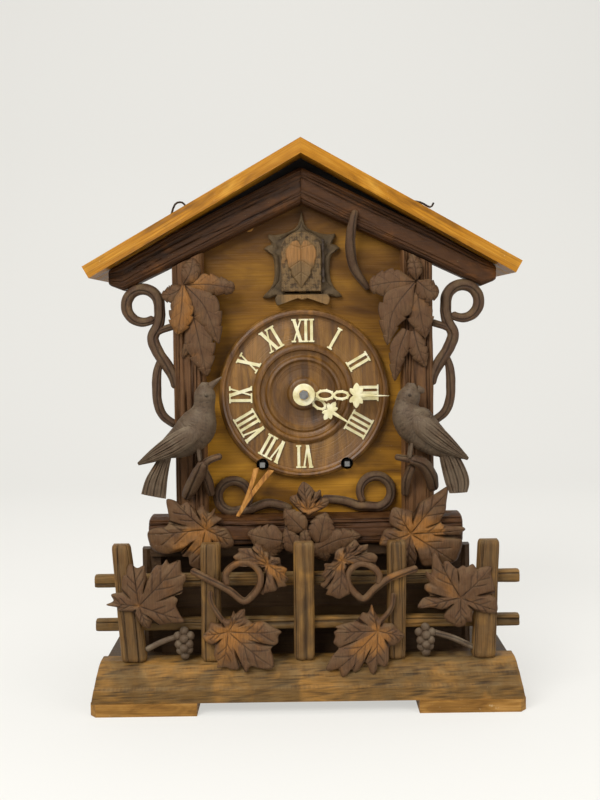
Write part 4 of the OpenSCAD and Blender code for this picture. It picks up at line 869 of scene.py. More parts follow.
def make_scrolls():
    """Ridged tendrils: a ring that all but closes and runs on as a stem, with two side stems. The
    numbers of a path are x, y, z."""
    parts = []
    curl = np.vstack([arc((133.7, 332), 13.8, 226, 540, -41, 70), smooth(
        [(119.6, -41, 324), (121.5, -41, 315), (126, -41, 304.5), (121.5, -41, 292), (114.5, -41, 281.5),
         (109.5, -41, 272), (107, -41, 262)], 12)])
    branch = smooth([(126.5, -41, 306), (119, -41.5, 311), (107.5, -41, 315)], 12)
    low_stem = smooth([(120, -41, 286), (123, -41, 276), (123.8, -41, 263), (123, -41, 250),
                       (118.5, -41, 239), (108, -41, 231)], 12)
    for path, r, seed in ((curl, [3.4, 4.8, 4.8, 4.8, 5.2, 4], 1), (branch, [2.6, 3.2], 3),
                          (low_stem, [3, 4, 4, 3.4], 4)):
        part = tendril(path, r, seed, 4)
        parts += [part, mirrored(part)]
    piece("scrolls_side", parts, "stem", ["scrolls"])
    y = FACE_Y - 3.7
    parts = []
    for side, cz, inner in ((1, 171.5, [(45, y, 159.6), (32, y, 164), (14, y, 166)]),
                            (-1, 169, [(-46, y, 158), (-32, y, 162.5), (-19, y, 160), (-12, y, 156)])):
        cx = 60 if side > 0 else 61
        ring = arc((cx, cz), 13.4, 222, -84, y, 70) * [side, 1, 1]
        parts.append(tendril(np.vstack([ring, smooth(inner, 14)]), [3.2, 4.2, 4.2, 4.2, 3.6], 2))
    piece("vines_low", parts, "stem", ["vines"])
    twig = smooth([(44.5, -50.5, 408), (41, -47, 392), (40.5, -43, 376), (44, -38, 360),
                   (56, -35.6, 343)], 12)
    piece("branch_gable", [tendril(twig, [2.4, 4, 4.4, 4, 2.6], 5)], "stem", ["gable_branch"])
    stems = (([(-101, -47, 170), (-94, -54, 182), (-87, -62, 194), (-83, -68, 203.5)], [4.5, 6.2, 6, 3.6]),
             ([(-85, -64, 200), (-77, -66, 205), (-68, -66, 207.5)], [3.6, 3, 2.6]),
             ([(-79, -47, 172), (-80.5, -54, 184), (-84, -61, 196)], [3, 4, 3.4]),
             ([(108, -47, 174), (105, -54, 187), (98, -61, 198), (86, -68, 203.5)], [4.6, 5.6, 5.4, 3.4]),
             ([(96, -62, 200), (84, -65, 203), (74, -66, 205)], [3.4, 3, 2.4]),
             ([(84, -47, 170), (84.5, -54, 183), (89, -60, 197)], [3.2, 4, 3.4]))
    parts = [tendril(smooth(path, 16), r, 6 + i, 4, 48, 0.24) for i, (path, r) in enumerate(stems)]
    piece("perches_carved", parts, "stem", ["perches"])


def rafter_top(x):
    """Upper line of the rafters, which leave a gap under the middle of the roof."""
    return np.minimum(445.3 - RAFTER_PITCH * np.abs(x), under_roof(x) - CLEAR)


def rafter_low(x):
    """Lower line of the rafters."""
    return 414.6 - 0.47 * np.abs(x)


def make_logs():
    """Each rafter is a log laid flat, then carried over to lie between its upper and lower lines,
    with a blunt nose at the eave. The columns end under the rafters."""
    eave, nose_from, nose_high, rafter_wide = 161, 149.5, 13, 31
    parts = []
    for s in (-1, 1):
        part = bark((s * eave, FACE_Y, 0), (0, FACE_Y, 0), (0, 0, 1), (rafter_wide, rafter_wide),
                    FACE_Y - CARVED_Y, 20 + s, 44, 0.85, 0.0)
        rings = part["rings"]
        out = np.abs(rings[..., 0])
        nose = rafter_top(eave) - nose_high
        slant = nose + (rafter_low(nose_from) - nose) * (eave - out) / (eave - nose_from)
        low = np.where(out < nose_from, rafter_low(out), slant)
        rings[..., 2] = low + (rings[..., 2] + rafter_wide / 2) / rafter_wide * (rafter_top(out) - low)
        parts.append(part)
    piece("rafters_hewn", parts, "bark", ["rafters"])
    parts = []
    for s in (-1, 1):
        part = bark((s * 96, FACE_Y, 154), (s * 96, FACE_Y, 378), (-1, 0, 0), (27, 27), 16, 30 + s, 30, 1.2)
        rings = part["rings"]
        rings[..., 2] = np.minimum(rings[..., 2], rafter_low(rings[..., 0]) - CLEAR)
        parts.append(part)
    piece("columns_hewn", parts, "upright", ["columns"])
    log = bark((-131, FACE_Y, 141.5), (131, FACE_Y, 141.5), (0, 0, 1), (25, 25), 28, 40, 30, 1.2)
    piece("cross_log_hewn", [log], "bark", ["cross_log"])
    # each post as x at its foot and top, and width there
    posts = [(-142, -151, 21, 15), (-79, -78, 16, 16), (-2.5, -2, 17, 17), (73, 74, 15, 16),
             (144.5, 149, 20, 17)]
    parts = [bark((x0, RAIL_FRONT, LOG_TOP), (x1, RAIL_FRONT, POST_TOP), (-1, 0, 0), (w0, w1),
                  RAIL_FRONT - POST_FRONT, 50 + i, 18, 0.6, 0.03, 1.2, 0.18)
             for i, (x0, x1, w0, w1) in enumerate(posts)]
    piece("posts_hewn", parts, "post", ["fence_posts"])
    parts = [bark((-174, RAIL_BACK, z), (175, RAIL_BACK, z), (0, 0, 1), (high, high),
                  RAIL_BACK - RAIL_FRONT, 60 + i, 12, 0.5, 0.03, 2.0)
             for i, (z, high) in enumerate(((105.75, 10.5), (69, 10)))]
    piece("rails_hewn", parts, "log", ["fence_rails"])


def make_base_log():
    """The log along the foot of the clock: a stepped profile of bark carried along X, each step's edge
    wandering, with rows of short gouge marks under the edges."""
    steps = np.array([(-66, 1), (-80, 1), (-86.5, 0.92), (-88.5, 0.77), (-91.5, 0.68), (-93, 0.42),
                      (-95, 0.35), (-95, 0), (-66, 0)], float) * [1, LOG_H]
    profile = resample(steps, 170)
    x = np.linspace(-176, 176, 300)[:, None]
    y, z = profile[:, 0][None, :], profile[:, 1][None, :]
    inside = (y < -66.5) & (z > 0.5)
    wander = 1.0 * waves(np.stack([x + 0 * y, z * 2 + 0 * x], -1), 40, 7) * inside
    chatter = 0.0
    for level, depth in ((26.0, 0.45), (20.5, 0.4), (12.0, 0.5)):
        row = depth * bell(z + wander - level, 1.4) * (y < -82)
        marks = 0.5 + 0.5 * np.sin(x * 3.4 + 3 * np.sin(x / 9))
        chatter += row * marks * held(waves(x[..., None], 30, int(level)) + 0.6)
    fibre = 0.28 * waves(np.stack([x / 9 + 0 * y, z + 0 * x], -1), 1.3, 9) * inside
    rings = np.stack([x * (1 - 0.035 * z / LOG_H) + 0 * y, y + 0.4 * wander + chatter + fibre,
                      FOOT_H + z + 0.7 * wander * (z < 29) + 0 * x], -1)
    # the groove mark paints shade into the gouge marks and the fibre
    groove = held(chatter * 0.9 + held(fibre) * 4)
    part = {"rings": rings, "groove": groove, "high": 0.5 * (1 - groove), "tone": 0.6}
    piece("base_log_hewn", [part], "log", ["base_log"], crease=60)


def make_fence_leaves():
    """Four leaves and two sprigs on the posts and rails; the low leaves lean out at the top, and each
    sprig has its own stalk."""
    lean = 0.105
    parts = [leaf(*FENCE_LEFT, POST_FRONT, 6, 11, 0.4), leaf(*FENCE_RIGHT, POST_FRONT, 6, 12, 0.45),
             leaf(*LOW_LEFT, POST_FRONT - 2.1, 5, 13, 0.7, lean),
             leaf(*LOW_RIGHT, POST_FRONT - 2.1, 5, 14, 0.75, lean)]
    piece("leaves_fence", parts, "leaf", ["fence_leaves"])
    # each stalk as x and z of its points, and radius
    stalks = (([(-93.5, 118), (-80, 110.5), (-63, 101), (-51.5, 92), (-44, 96.5), (-38, 105), (-37.5, 114),
                (-43, 121.5), (-51, 124), (-60, 120.5), (-65.5, 113.5), (-64, 105)], 2.9),
              ([(90, 117), (80, 114), (67, 109), (55.5, 101), (46.5, 92.5), (40, 96), (34.5, 103.5),
                (33, 111.5), (37, 118), (44, 121.5), (53, 118.5), (58.5, 112), (57.5, 104)], 2.9),
              ([(-78, 101), (-77, 90), (-67, 74)], 2.1), ([(70.5, 97), (68, 84), (58, 72)], 2.1))
    parts = [tendril(smooth([(x, POST_FRONT - 2.5, z) for x, z in path], 14), r, 8, 2) for path, r in stalks]
    parts += [leaf(*shape, POST_FRONT - 1 - 0.6 * i, 5, 15 + i, 0.6, n=260, m=34)
              for i, shape in enumerate(SPRIGS)]
    piece("sprigs_fence", parts, "leaf", ["fence_sprigs"])


BERRIES = np.array([(0, 0, 2), (-1, 0, 1.2), (1, 0, 1.2), (0, 0.8, 0.9), (-0.8, 0.5, 0), (0.8, 0.5, 0),
                    (0, 0.9, -0.6), (-0.6, 0, -1.2), (0.7, 0, -1.1), (0.1, 0, -2)], float)


def berry(centre, radius, seed):
    """A ball, radius r (1 + 4% wander)."""
    lat = np.linspace(-np.pi / 2 + 0.08, np.pi / 2 - 0.08, 18)[:, None]
    lon = circle(28)
    ball = np.stack([np.cos(lat) * np.cos(lon), np.sin(lat) + 0 * lon, np.cos(lat) * np.sin(lon)], -1)
    grow = 1 + 0.04 * waves(ball * 3, 2, seed)[..., None]
    return {"rings": np.array(centre) + radius * ball * grow, "high": 0.5, "tone": 0.3}


def make_grapes():
    """Two bunches of berries, 5 mm apart, each with its twig."""
    parts = []
    for x, z in ((-100.9, 55.4), (96.7, 55.8)):
        parts += [berry((x + 5 * b[0], -80 - 4.4 * b[1], z + 5 * b[2]), 3.7, 70 + k)
                  for k, b in enumerate(BERRIES)]
    parts.append(tendril(smooth([(-133, -80, 50), (-118, -79, 57), (-101, -79, 62)], 14), 2.5, 3, 2))
    parts.append(tendril(smooth([(137, -80, 48), (118, -79, 57), (97, -79, 63)], 14), 2.5, 4, 2))
    piece("grapes_carved", parts, "bird", ["grapes"])


# Each bird as x, z and half widths: body from tail to crown, wing from shoulder to tip, tail, beak, eye
BIRDS = (
    ("bird_left", -1,
     [(134, 203, 2, 2), (127, 207, 4, 3), (118.4, 211.5, 6.4, 5), (101.8, 219.5, 13.5, 10),
      (90.7, 228.3, 15.8, 12.5), (85.6, 237.2, 14.4, 12), (82.2, 247.5, 9, 8.6), (81.3, 259.5, 8.5, 8.4),
      (80.9, 268.3, 3, 3)],
     [(83.5, 228.5, 3.6), (94, 225.5, 8), (109, 217, 8.2), (123, 209.5, 5.6), (137, 202, 1.3)],
     [(114, 209, 4.5), (118.5, 198, 6.6), (123, 186, 9.2), (125.5, 174.5, 10.4)],
     [(79, 263.4, 4), (73, 268.2, 2), (67.2, 272.4, 0.6)], (79.6, 258)),
    ("bird_right", 1,
     [(133, 203.5, 2, 2), (126, 207, 5, 3), (116.4, 211.5, 9, 5), (104.8, 219.2, 13.5, 10),
      (92.2, 230.5, 16, 12.5), (85.7, 239.4, 14, 12), (84.3, 248, 9.8, 8.8), (87, 257, 8.7, 8.4),
      (88, 265.4, 3, 3)],
     [(87, 237, 3.8), (96, 231, 8.4), (108, 221.5, 8.6), (120, 212.5, 6), (134, 202.5, 1.4)],
     [(115, 211, 5.5), (119, 203, 8), (123.5, 191, 9.8), (126, 182, 9.8), (126.5, 174, 7.4)],
     [(93, 259.8, 3.8), (96.4, 259.2, 2.8), (98.8, 258.6, 1.7)], (86, 256)))


def bird(side, body, wing, tail, beak, eye):
    """A carved bird in profile: a body swept along its back's curve, a folded wing on each side and a
    fanned tail, both with long feather grooves, a beak, a dark eye, and two legs."""
    y = -64.0
    body, wing, tail, beak = (np.array(part, float) for part in (body, wing, tail, beak))

    def line(part, off):
        return smooth(np.stack([part[:, 0], off, part[:, 1]], 1), 12)

    level = np.full(len(body), y)
    parts = [limb(line(body, level), body[:, 2], body[:, 3], 1, 72, 0.3, 0.035, 2.6)]
    for s in (-1, 1):
        spread = y + s * np.array([10, 11.6, 10.4, 6.8, 2.6])
        parts.append(ribbed(line(wing, spread), wing[:, 2], [1.8, 3.6, 3.4, 2.4, 1.0], 0.6, 0.34, 0.22))
        parts.append(dict(berry((eye[0], y + 8.1 * s, eye[1]), 1.5, 5), groove=1.0))
        foot = [(88, y + 5 * s, 217), (87, y + 5 * s, 210), (86, y + 4.5 * s, 203.5)]
        parts.append(tendril(smooth(foot, 8), 1.6, 6, 2, 16))
    count = len(tail)
    parts.append(ribbed(line(tail, level[:count]), tail[:, 2], np.linspace(3.4, 1.7, count), 0.5, 0.42, 0.05))
    parts.append(limb(line(beak, level[:3]), beak[:, 2], beak[:, 2] * 0.9, 4, 24, 0.4))
    return parts if side > 0 else [mirrored(part) for part in parts]


def make_birds():
    """The two birds, each drawn as its own outline and mirrored where it looks the other way."""
    for name, *shape in BIRDS:
        piece(name + "_carved", bird(*shape), "bird", [name])


def ring_plate(x, a, b, wide, y, t, spikes=0):
    """A pierced oval of a hand: an oval path with a rounded bar section, its outer edge drawn out into
    small points."""
    w, v = circle(96).T, circle(16)
    grow = 1 + 0.16 * held(np.cos(spikes * w)) ** 5 * (spikes > 0)
    bar, lift = squarish(np.cos(v)) * wide / 2, squarish(np.sin(v)) * t / 2
    out = np.where(bar > 0, grow, 1)
    rings = np.stack([x + (a + bar) * out * np.cos(w), y + lift + 0 * w, (b + bar) * out * np.sin(w)], -1)
    return {"rings": rings, "loop": True, "high": 0.5}


def blade(x0, x1, wide, y, t):
    """The tapering pointer of a hand: a rounded bar whose width falls evenly to its tip."""
    x, v = np.linspace(x0, x1, 30)[:, None], circle(20)
    w = wide * (1 - (x - x0) / (x1 - x0)) + 0.5
    return {"rings": np.stack([x + 0 * v, y + t / 2 * np.sin(v) + 0 * x, w / 2 * np.cos(v)], -1), "high": 0.5}


def make_hands():
    """Each hand lies along X: a ring on its arbor, pierced ovals, a leaf and a pointer; then it is
    turned to where it stands in the photograph. A nut holds the minute hand."""
    t = 1.1
    for name, body, angle, y, hub, hole, ovals_at, leaf_at, size, tip in (
            ("hand_minute", "minute", -1.5, -50.85, 9.3, 3.2, [(17.6, 6.6, 3.6), (31, 5.8, 3.0)],
             43.5, 10.6, 71),
            ("hand_hour", "hour", -33, -47.05, 8.0, 4.3, [(15, 5.6, 3.4)], 25.5, 9, 50)):
        parts = [ring_plate(0, (hub + hole) / 2, (hub + hole) / 2, hub - hole, y, t)]
        parts += [ring_plate(x, a, b, 2.2, y, t, 9) for x, a, b in ovals_at]
        lobes = [(0, size * 0.6), (50, size * 0.82), (88, size), (132, size * 0.75), (228, size * 0.75),
                 (272, size), (310, size * 0.82)]
        parts += [star_leaf(leaf_at, lobes, y, t), blade(leaf_at, tip, 3.2, y, t)]
        for part in parts:
            part["rings"] = turned(part["rings"], angle, CENTRE)
        piece(name, parts, "bone", [body + "_hand"], body)
    z = CENTRE[1]
    nut = [rod((0, -51.3, z), (0, -54.2, z), 4.2, 6), rod((0, -54, z), (0, -55.4, z), 2.4)]
    piece("hand_nut", nut, "steel", body="minute")


FRAME_HALF = [(0, 409), (1.3, 403), (2.8, 397.8), (5.6, 394.6), (10, 392.4), (16, 390.4), (22, 389.6),
              (28, 390.2), (28.2, 387.2), (26, 384), (25.5, 381.5), (29, 380.5), (32, 378.3), (29, 375.5),
              (25.5, 373.5), (23.8, 369), (23.2, 363), (23.2, 356), (24.5, 349.5), (27.5, 344), (32, 340),
              (33.5, 337.3), (29, 336.6), (24, 338)]


def make_doorway():
    """The horned frame: a moulded band between its outline and the doorway, points paired by their
    bearing from the middle; the scrolled bracket under it; the wire hinge pin in its two eyes."""
    half = np.array(FRAME_HALF, float)
    outer = resample(np.vstack([half, half[1:][::-1] * [-1, 1]]), 260)
    a = np.linspace(0, np.pi / 2, 24)
    right = np.stack([15 * np.sin(a), 376 + 15 * np.cos(a)], 1)
    hole = resample(np.vstack([right, [(15, 341), (0, 341), (-15, 341)], (right * [-1, 1])[:0:-1]]), 400)
    bearing = [np.unwrap(np.arctan2(p[:, 0], p[:, 1] - 366.0)) for p in (outer, hole)]
    inner = np.stack([np.interp(bearing[0], bearing[1], hole[:, c]) for c in (0, 1)], 1)
    profile = np.array([(0.0, 0.0), (0.0, 3.0), (0.06, 4.6), (0.2, 5.6), (0.4, 5.2), (0.55, 4.6), (0.7, 5.4),
                        (0.82, 5.9), (0.95, 5.6), (1.0, 4.8), (1.0, 0.0)])
    # painted shade along the hollow of the moulding
    line = np.interp(profile[:, 0], [0, 0.45, 0.55, 0.65, 1], [0, 0.2, 0.7, 0.2, 0])[None, :]
    band = {"rings": frame_band(outer, inner, profile, FACE_Y), "loop": True, "high": 0.35, "tone": 0.3,
            "groove": line}
    bracket = smooth([(-21, 339.6), (-23, 336), (-21.5, 331), (-18, 332), (-12, 336.2), (-6, 337), (0, 335),
                      (6, 337), (12, 336.2), (18, 332), (21.5, 331), (23, 336), (21, 339.6)], 8)
    rings, _ = plate(resample(bracket, 160), np.array((0, 338)), lambda p: 0.8 * np.cos(p[..., 0] / 3.4) ** 2,
                     -40.2, FACE_Y, 14, 1.2)
    piece("door_frame_carved", [band, {"rings": rings, "high": 0.3, "tone": 1.0}], "frame",
          ["door_frame"])
    x, y = DOOR_PIN
    wires = [rod((x, y, 349.2), (x, y, 385.4), 0.6)]
    wires += [rod((x, -42.7, z), (x, -38, z), 1.2) for z in (350.4, 384.2)]
    piece("door_hinge_wire", wires, "iron")
    make_cuckoo_door()


def rod(a, b, radius, sides=20):
    """A round wire or bar from a to b."""
    a, b = np.array(a, float), np.array(b, float)
    way = unit(b - a)
    side = unit(np.cross(way, [0.31, 0.17, 0.93] if abs(way[2]) < 0.9 else [1, 0, 0]))
    v = circle(sides)[..., None]
    t = np.linspace(0, 1, 6)[:, None, None]
    rings = a + (b - a) * t + radius * (side * np.cos(v) + np.cross(way, side) * np.sin(v))
    return {"rings": rings, "high": 0.4}


def block(low, high):
    """A planed block with rounded arrises: the section is a squared-off oval carried along Y."""
    low, high = np.array(low, float), np.array(high, float)
    deep = high[1] - low[1]
    y = np.concatenate([[0, 0.3, 1], np.linspace(0, 1, 8)[1:-1] * deep, deep + np.array([-1, -0.3, 0])])
    inset = np.concatenate([[1, 0.3, 0], np.zeros(6), [0, 0.3, 1]]) * 0.5
    half = (high - low)[[0, 2]] / 2
    v = circle(48)
    c, s = np.cos(v), np.sin(v)
    reach = np.maximum(np.abs(c), np.abs(s))
    rings = np.stack([(low[0] + high[0]) / 2 + (half[0] - inset[:, None]) * c / reach,
                      low[1] + y[:, None] + 0 * v,
                      (low[2] + high[2]) / 2 + (half[1] - inset[:, None]) * s / reach], -1)
    return {"rings": rings, "high": 0.3, "tone": 0.4}


def make_cuckoo_door():
    """The door is a plate under a flat arch. Its relief is a hanging leaf: inside a half width given
    over the height and under a top edge with a notch, a low dome less a mid vein and three pairs of
    side veins; round it the ground is stippled."""
    left, right, top = -17.4, 15.9, 377.0
    mid, arch = (left + right) / 2, (right - left) / 2
    round_top = [(mid + arch * math.cos(a), top + 14.6 * math.sin(a)) for a in np.linspace(0, math.pi, 60)]
    outline = resample(np.vstack([round_top, [(left, 342), (right, 342)]]), 220)

    def leaf_share(p):
        x, z = p[..., 0] - mid, p[..., 1]
        wide = np.interp(z, [345, 350, 356, 360, 362, 368, 370, 376, 380, 383],
                         [0, 3.6, 8, 8.4, 10.6, 11.6, 12.4, 12.6, 11, 7.5])
        crown = 385 - 4.5 * bell(x, 1.8) - 0.03 * x ** 2
        return x, z, soft_step(-(np.abs(x) - wide) / 0.25) * soft_step(-(z - crown) / 0.25)

    def relief(p):
        x, z, share = leaf_share(p)
        vein = bell(x, 0.45)
        for root in (378, 368, 358):
            line = np.abs((z - root) * 0.82 + (np.abs(x) if root < 378 else -0.4 * np.abs(x)) * 0.57)
            vein = np.maximum(vein, 0.8 * bell(line, 0.45))
        dome = 1.0 + 0.9 * bell(np.abs(x) - 6.5, 4) - 0.6 * vein
        return share * dome + (1 - share) * (0.3 * waves(p, 1.5, 3) - 0.1)

    rings, height = plate(outline, np.array((mid, 366)), relief, -42.2, -38.3, 64, 0.7)
    flat = rings[..., [0, 2]]
    share = leaf_share(flat)[2] * (rings[..., 1] < -41)
    pits = np.clip(-2.5 * waves(flat, 1.5, 3), 0, 0.9) * (1 - share)
    # painted shade in the stipple pits and the low veins of the leaf
    door = {"rings": rings, "high": 0.3 + 0.5 * (1 - share),
            "tone": 0.2 + 1.1 * share * held((flat[..., 1] - 352) / 22),
            "groove": held(pits + share * np.clip(0.9 - height, 0, 0.8))}
    piece("cuckoo_door_carved", [door], "door", ["cuckoo_door"], "cuckoo_door")
    x, y = DOOR_PIN
    knuckles = [rod((x, y, z), (x, y, z + 6), 1.2) for z in (354, 376)]
    straps = [rod((14.4, y, z + h), (17.0, y, z + h), 0.55) for z in (354, 376) for h in (1.5, 4.5)]
    piece("door_knuckles", knuckles + straps, "iron", body="cuckoo_door")
    piece("peg_stub", [rod((-44.5, FACE_Y + 2, 397), (-44.5, FACE_Y - 1.6, 397), 4.3)], "strip")


def make_strip():
    """The sliver folded in two: each blade a thin band from the fold to the dial's rim, a little
    bowed, its edges rounded."""
    fold = np.array((-57, -50.6, 154.6))
    t, v = np.linspace(0, 1, 40)[:, None], circle(28)
    bow, half = np.sin(np.pi * t), 1.4 + 1.0 * t
    parts = []
    for side, top in ((1, (-41, -43.5, 194)), (-1, (-28.5, -42.6, 192))):
        axis = fold + (np.array(top) - fold) * t + bow * [1.5 * side, -1, 0]
        parts.append({"rings": np.stack([axis[:, :1] + half * squarish(np.cos(v)),
                                         axis[:, 1:2] + 0.45 * squarish(np.sin(v)),
                                         axis[:, 2:] + 0.6 * np.cos(v) * side], -1)})
    piece("strip_folded", parts, "strip", ["loose_strip"])


def make_cuckoo():
    """The cuckoo on its block: ovals swept from tail to head, a beak, eyes and a leg."""
    path = smooth([(0, 24, 358), (0, 14, 361), (0, 4, 364), (0, -6, 367), (0, -13, 371.5), (0, -18, 375),
                   (0, -23, 376), (0, -25.5, 375.6)], 8)
    share, knots = np.linspace(0, 1, len(path)), np.linspace(0, 1, 8)
    across = np.interp(share, knots, [5, 5.6, 7, 7.4, 6.2, 5.6, 3.6, 1.2])[:, None]
    deep = np.interp(share, knots, [1.6, 3.6, 7, 8, 6.4, 5.6, 3.6, 1.2])[:, None]
    w = circle(40)
    body = path[:, None] + np.stack([across * np.cos(w), 0 * w + 0 * across, deep * np.sin(w)], -1)
    t = np.linspace(0, 1, 10)[:, None]
    beak = np.stack([(2 - 1.5 * t) * np.cos(w), -22 - 6 * t + 0 * w, 375.4 + (1.6 - 1.2 * t) * np.sin(w)], -1)
    # the block's two runners hug the rail
    runners = [block((low, -6, 341.25), (high, 16, 344.1)) for low, high in ((-7, -3.08), (3.08, 7))]
    parts = [{"rings": body, "tone": 0.5, "high": 0.5}, {"rings": beak, "tone": 0.3},
             rod((0, 2, 347), (0, 2, 361), 1.8), block((-7, -6, 344.1), (7, 16, 348)), *runners]
    parts += [berry((x, -17.5, 377), 1.0, 9) for x in (-5.2, 5.2)]
    piece("cuckoo_carved", parts, "bird", ["cuckoo"], "cuckoo")


def make_stage():
    """A pale sweep: floor, quarter circle and wall, carried across; soft lamps; and the camera."""
    size = bpy.context.scene.clock_stage
    bpy.context.scene.view_settings.view_transform = "Standard"
    a = np.linspace(0, np.pi / 2, 24)
    front, back, radius, wall = -2.4, 1.1, 0.8, 3.2
    line = np.vstack([[(front, 0.0)], np.stack([back + radius * np.sin(a), radius * (1 - np.cos(a))], 1),
                      [(back + radius, wall)]])
    verts = [(x, float(y), float(z)) for x in (-3.0, 3.0) for y, z in line]
    n = len(line)
    mesh = bpy.data.meshes.new("sweep")
    mesh.from_pydata(verts, [], [(k, n + k, n + k + 1, k + 1) for k in range(n - 1)])
    mesh.shade_smooth()
    mesh.materials.append(paper_seen_lighter())
    floor = bpy.data.objects.new("sweep", mesh)
    bpy.context.scene.collection.objects.link(floor)
    world = bpy.data.worlds.new("soft_room")
    world.use_nodes = True
    world.node_tree.nodes["Background"].inputs[0].default_value = linear("#F4F1EA")
    world.node_tree.nodes["Background"].inputs[1].default_value = size.room
    bpy.context.scene.world = world
    for name, spot, aim_high, wide, power in (
            ("key", (-0.9, -1.5, 1.5), 0.22, 1.2, size.key), ("fill", (1.4, -1.3, 0.7), 0.22, 1.2, size.fill),
            ("top", (0.1, 0.2, 1.9), 0.2, 1.4, size.top)):
        lamp = bpy.data.lights.new(name, "AREA")
        lamp.energy, lamp.size = power, wide
        obj = bpy.data.objects.new(name, lamp)
        obj.location = spot
        obj.rotation_euler = (Vector((0, 0, aim_high)) - Vector(spot)).to_track_quat("-Z", "Y").to_euler()
        bpy.context.scene.collection.objects.link(obj)
    # the camera as measured on the photograph: focal length in its pixels, place, and turns in degrees
    focal_px, high_px, place, down, roll = 1084, 800, (-0.0033, -0.952, 0.3179), 4.2, -0.8
    camera = bpy.data.cameras.new("photo")
    camera.sensor_fit = "VERTICAL"
    camera.sensor_height = 24.0
    camera.lens = 24.0 * focal_px / high_px
    camera.clip_end = 20
    obj = bpy.data.objects.new("photo", camera)
    obj.matrix_world = Matrix.Translation(place) @ Matrix.Rotation(math.radians(90 - down), 4, "X") \
        @ Matrix.Rotation(math.radians(roll), 4, "Z")
    bpy.context.scene.collection.objects.link(obj)
    bpy.context.scene.camera = obj


# ---------------------------------------------------------------- the add-on

class ClockColours(bpy.types.PropertyGroup):
    """Colours of the woods, as sRGB hex."""
    honey_hex: bpy.props.StringProperty(name="Honey", description="Light varnish of the roof",
                                        default="#D29A38")
    amber_hex: bpy.props.StringProperty(name="Amber", description="Middle varnish of the roof",
                                        default="#B27618")
    shade_hex: bpy.props.StringProperty(name="Shade", description="Dark grain of the roof", default="#74490F")
    bark_hex: bpy.props.StringProperty(name="Bark", description="Stain of rafters and columns",
                                       default="#4E2E12")
    dust_hex: bpy.props.StringProperty(name="Dust", description="Dust on the carvings", default="#84704E")
    worn_hex: bpy.props.StringProperty(name="Worn", description="Bare limewood of the leaves",
                                       default="#94622C")
    paper_hex: bpy.props.StringProperty(name="Paper", description="Colour of the sweep", default="#8C8A87")


class ClockStage(bpy.types.PropertyGroup):
    """Floor and lamps."""
    room: bpy.props.FloatProperty(name="Room", description="Light from all round", default=0.3, min=0)
    key: bpy.props.FloatProperty(name="Key", description="Lamp at the upper left",
                                 default=46, min=0, subtype="POWER")
    fill: bpy.props.FloatProperty(name="Fill", description="Lamp at the right",
                                  default=15, min=0, subtype="POWER")
    top: bpy.props.FloatProperty(name="Top", description="Lamp overhead",
                                 default=22, min=0, subtype="POWER")
    glow: bpy.props.FloatProperty(name="Paper glow", description="How much lighter the eye sees the sweep",
                                  default=0.7, min=0)


class ClockOperator:
    """What every step shares"""
    bl_options = {"REGISTER", "UNDO"}


class CLOCK_OT_finishes(ClockOperator, bpy.types.Operator):
    """Makes every finish and lays one on each solid of the clock"""
    bl_idname, bl_label = "clock.finishes", "Finishes"

    def execute(self, context):
        make_finishes()
        given = {node: FINISH[key] for key, nodes in NODE_FINISH.items() for node in nodes}
        for name, obj in NODES.items():
            obj.data.materials.clear()
            obj.data.materials.append(given[name])
        return {"FINISHED"}


class CLOCK_OT_logs(ClockOperator, bpy.types.Operator):
    """Rafters, columns, cross log, posts and rails with their bark"""
    bl_idname, bl_label = "clock.logs", "Logs"

    def execute(self, context):
        make_logs()
        return {"FINISHED"}


class CLOCK_OT_base_log(ClockOperator, bpy.types.Operator):
    """The stepped log along the foot"""
    bl_idname, bl_label = "clock.base_log", "Base log"

    def execute(self, context):
        make_base_log()
        return {"FINISHED"}


class CLOCK_OT_leaves(ClockOperator, bpy.types.Operator):
    """Vine leaves on the case"""
    bl_idname, bl_label = "clock.leaves", "Leaves"

    def execute(self, context):
        make_leaves()
        return {"FINISHED"}


class CLOCK_OT_scrolls(ClockOperator, bpy.types.Operator):
    """Curled tendrils, low vines, the gable branch and the perches"""
    bl_idname, bl_label = "clock.scrolls", "Scrolls"

    def execute(self, context):
        make_scrolls()
        return {"FINISHED"}


class CLOCK_OT_fence_leaves(ClockOperator, bpy.types.Operator):
    """Leaves and sprigs on the fence"""
    bl_idname, bl_label = "clock.fence_leaves", "Fence leaves"

    def execute(self, context):
        make_fence_leaves()
        return {"FINISHED"}


class CLOCK_OT_grapes(ClockOperator, bpy.types.Operator):
    """Bunches of grapes on their twigs"""
    bl_idname, bl_label = "clock.grapes", "Grapes"

    def execute(self, context):
        make_grapes()
        return {"FINISHED"}


class CLOCK_OT_birds(ClockOperator, bpy.types.Operator):
    """The two carved birds"""
    bl_idname, bl_label = "clock.birds", "Birds"

    def execute(self, context):
        make_birds()
        return {"FINISHED"}


class CLOCK_OT_hands(ClockOperator, bpy.types.Operator):
    """Pierced bone hands"""
    bl_idname, bl_label = "clock.hands", "Hands"

    def execute(self, context):
        make_hands()
        return {"FINISHED"}


class CLOCK_OT_doorway(ClockOperator, bpy.types.Operator):
    """The cuckoo's doorway, its carved door and the stub of a peg left of it"""
    bl_idname, bl_label = "clock.doorway", "Doorway"

    def execute(self, context):
        make_doorway()
        return {"FINISHED"}


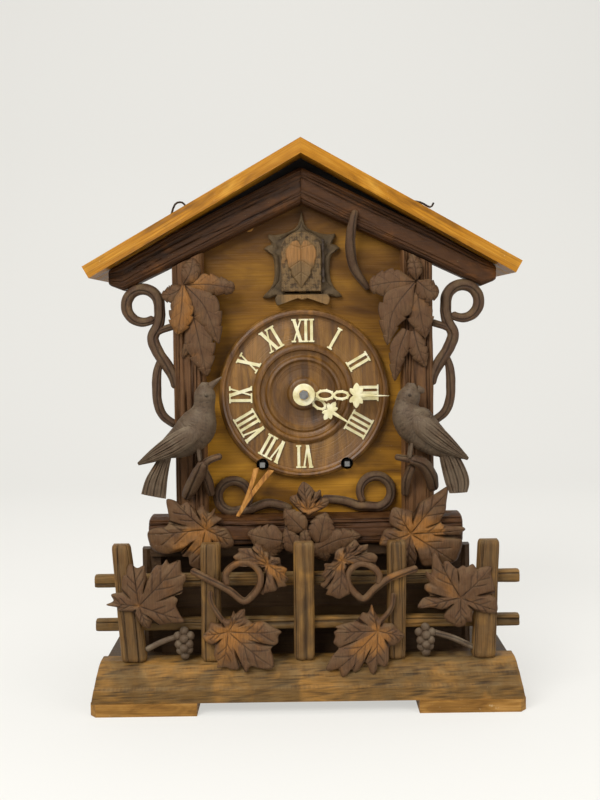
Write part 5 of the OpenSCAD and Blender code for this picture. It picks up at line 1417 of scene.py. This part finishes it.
class CLOCK_OT_cuckoo(ClockOperator, bpy.types.Operator):
    """The cuckoo on its sliding block"""
    bl_idname, bl_label = "clock.cuckoo", "Cuckoo"

    def execute(self, context):
        make_cuckoo()
        return {"FINISHED"}


class CLOCK_OT_strip(ClockOperator, bpy.types.Operator):
    """The loose folded sliver"""
    bl_idname, bl_label = "clock.strip", "Loose strip"

    def execute(self, context):
        make_strip()
        return {"FINISHED"}


class CLOCK_OT_stage(ClockOperator, bpy.types.Operator):
    """Floor, lamps and camera"""
    bl_idname, bl_label = "clock.stage", "Stage"

    def execute(self, context):
        make_stage()
        return {"FINISHED"}


STEPS = [CLOCK_OT_stage, CLOCK_OT_finishes, CLOCK_OT_logs, CLOCK_OT_base_log, CLOCK_OT_leaves,
         CLOCK_OT_scrolls, CLOCK_OT_fence_leaves, CLOCK_OT_grapes, CLOCK_OT_birds, CLOCK_OT_hands,
         CLOCK_OT_doorway, CLOCK_OT_cuckoo, CLOCK_OT_strip]


class CLOCK_PT_panel(bpy.types.Panel):
    """Lists the clock's settings and steps"""
    bl_label, bl_idname = "Cuckoo Mantel Clock", "CLOCK_PT_panel"
    bl_space_type, bl_region_type, bl_category = "VIEW_3D", "UI", "Clock"

    def draw(self, context):
        for group in (context.scene.clock_colours, context.scene.clock_stage):
            for key in group.bl_rna.properties.keys():
                if key not in ("rna_type", "name"):
                    self.layout.prop(group, key)
        for step in STEPS:
            self.layout.operator(step.bl_idname)


CLASSES = [ClockColours, ClockStage, *STEPS, CLOCK_PT_panel]


def register():
    """Gives every class to Blender and the two settings to its scene."""
    for cls in CLASSES:
        bpy.utils.register_class(cls)
    bpy.types.Scene.clock_colours = bpy.props.PointerProperty(type=ClockColours)
    bpy.types.Scene.clock_stage = bpy.props.PointerProperty(type=ClockStage)


def unregister():
    """Takes the settings and the classes away again."""
    del bpy.types.Scene.clock_stage, bpy.types.Scene.clock_colours
    for cls in reversed(CLASSES):
        bpy.utils.unregister_class(cls)


def main():
    """Builds the clock."""
    register()
    for step in STEPS:
        getattr(bpy.ops.clock, step.bl_idname.split(".")[1])()
    bpy.context.view_layer.update()


if __name__ == "__main__":
    main()
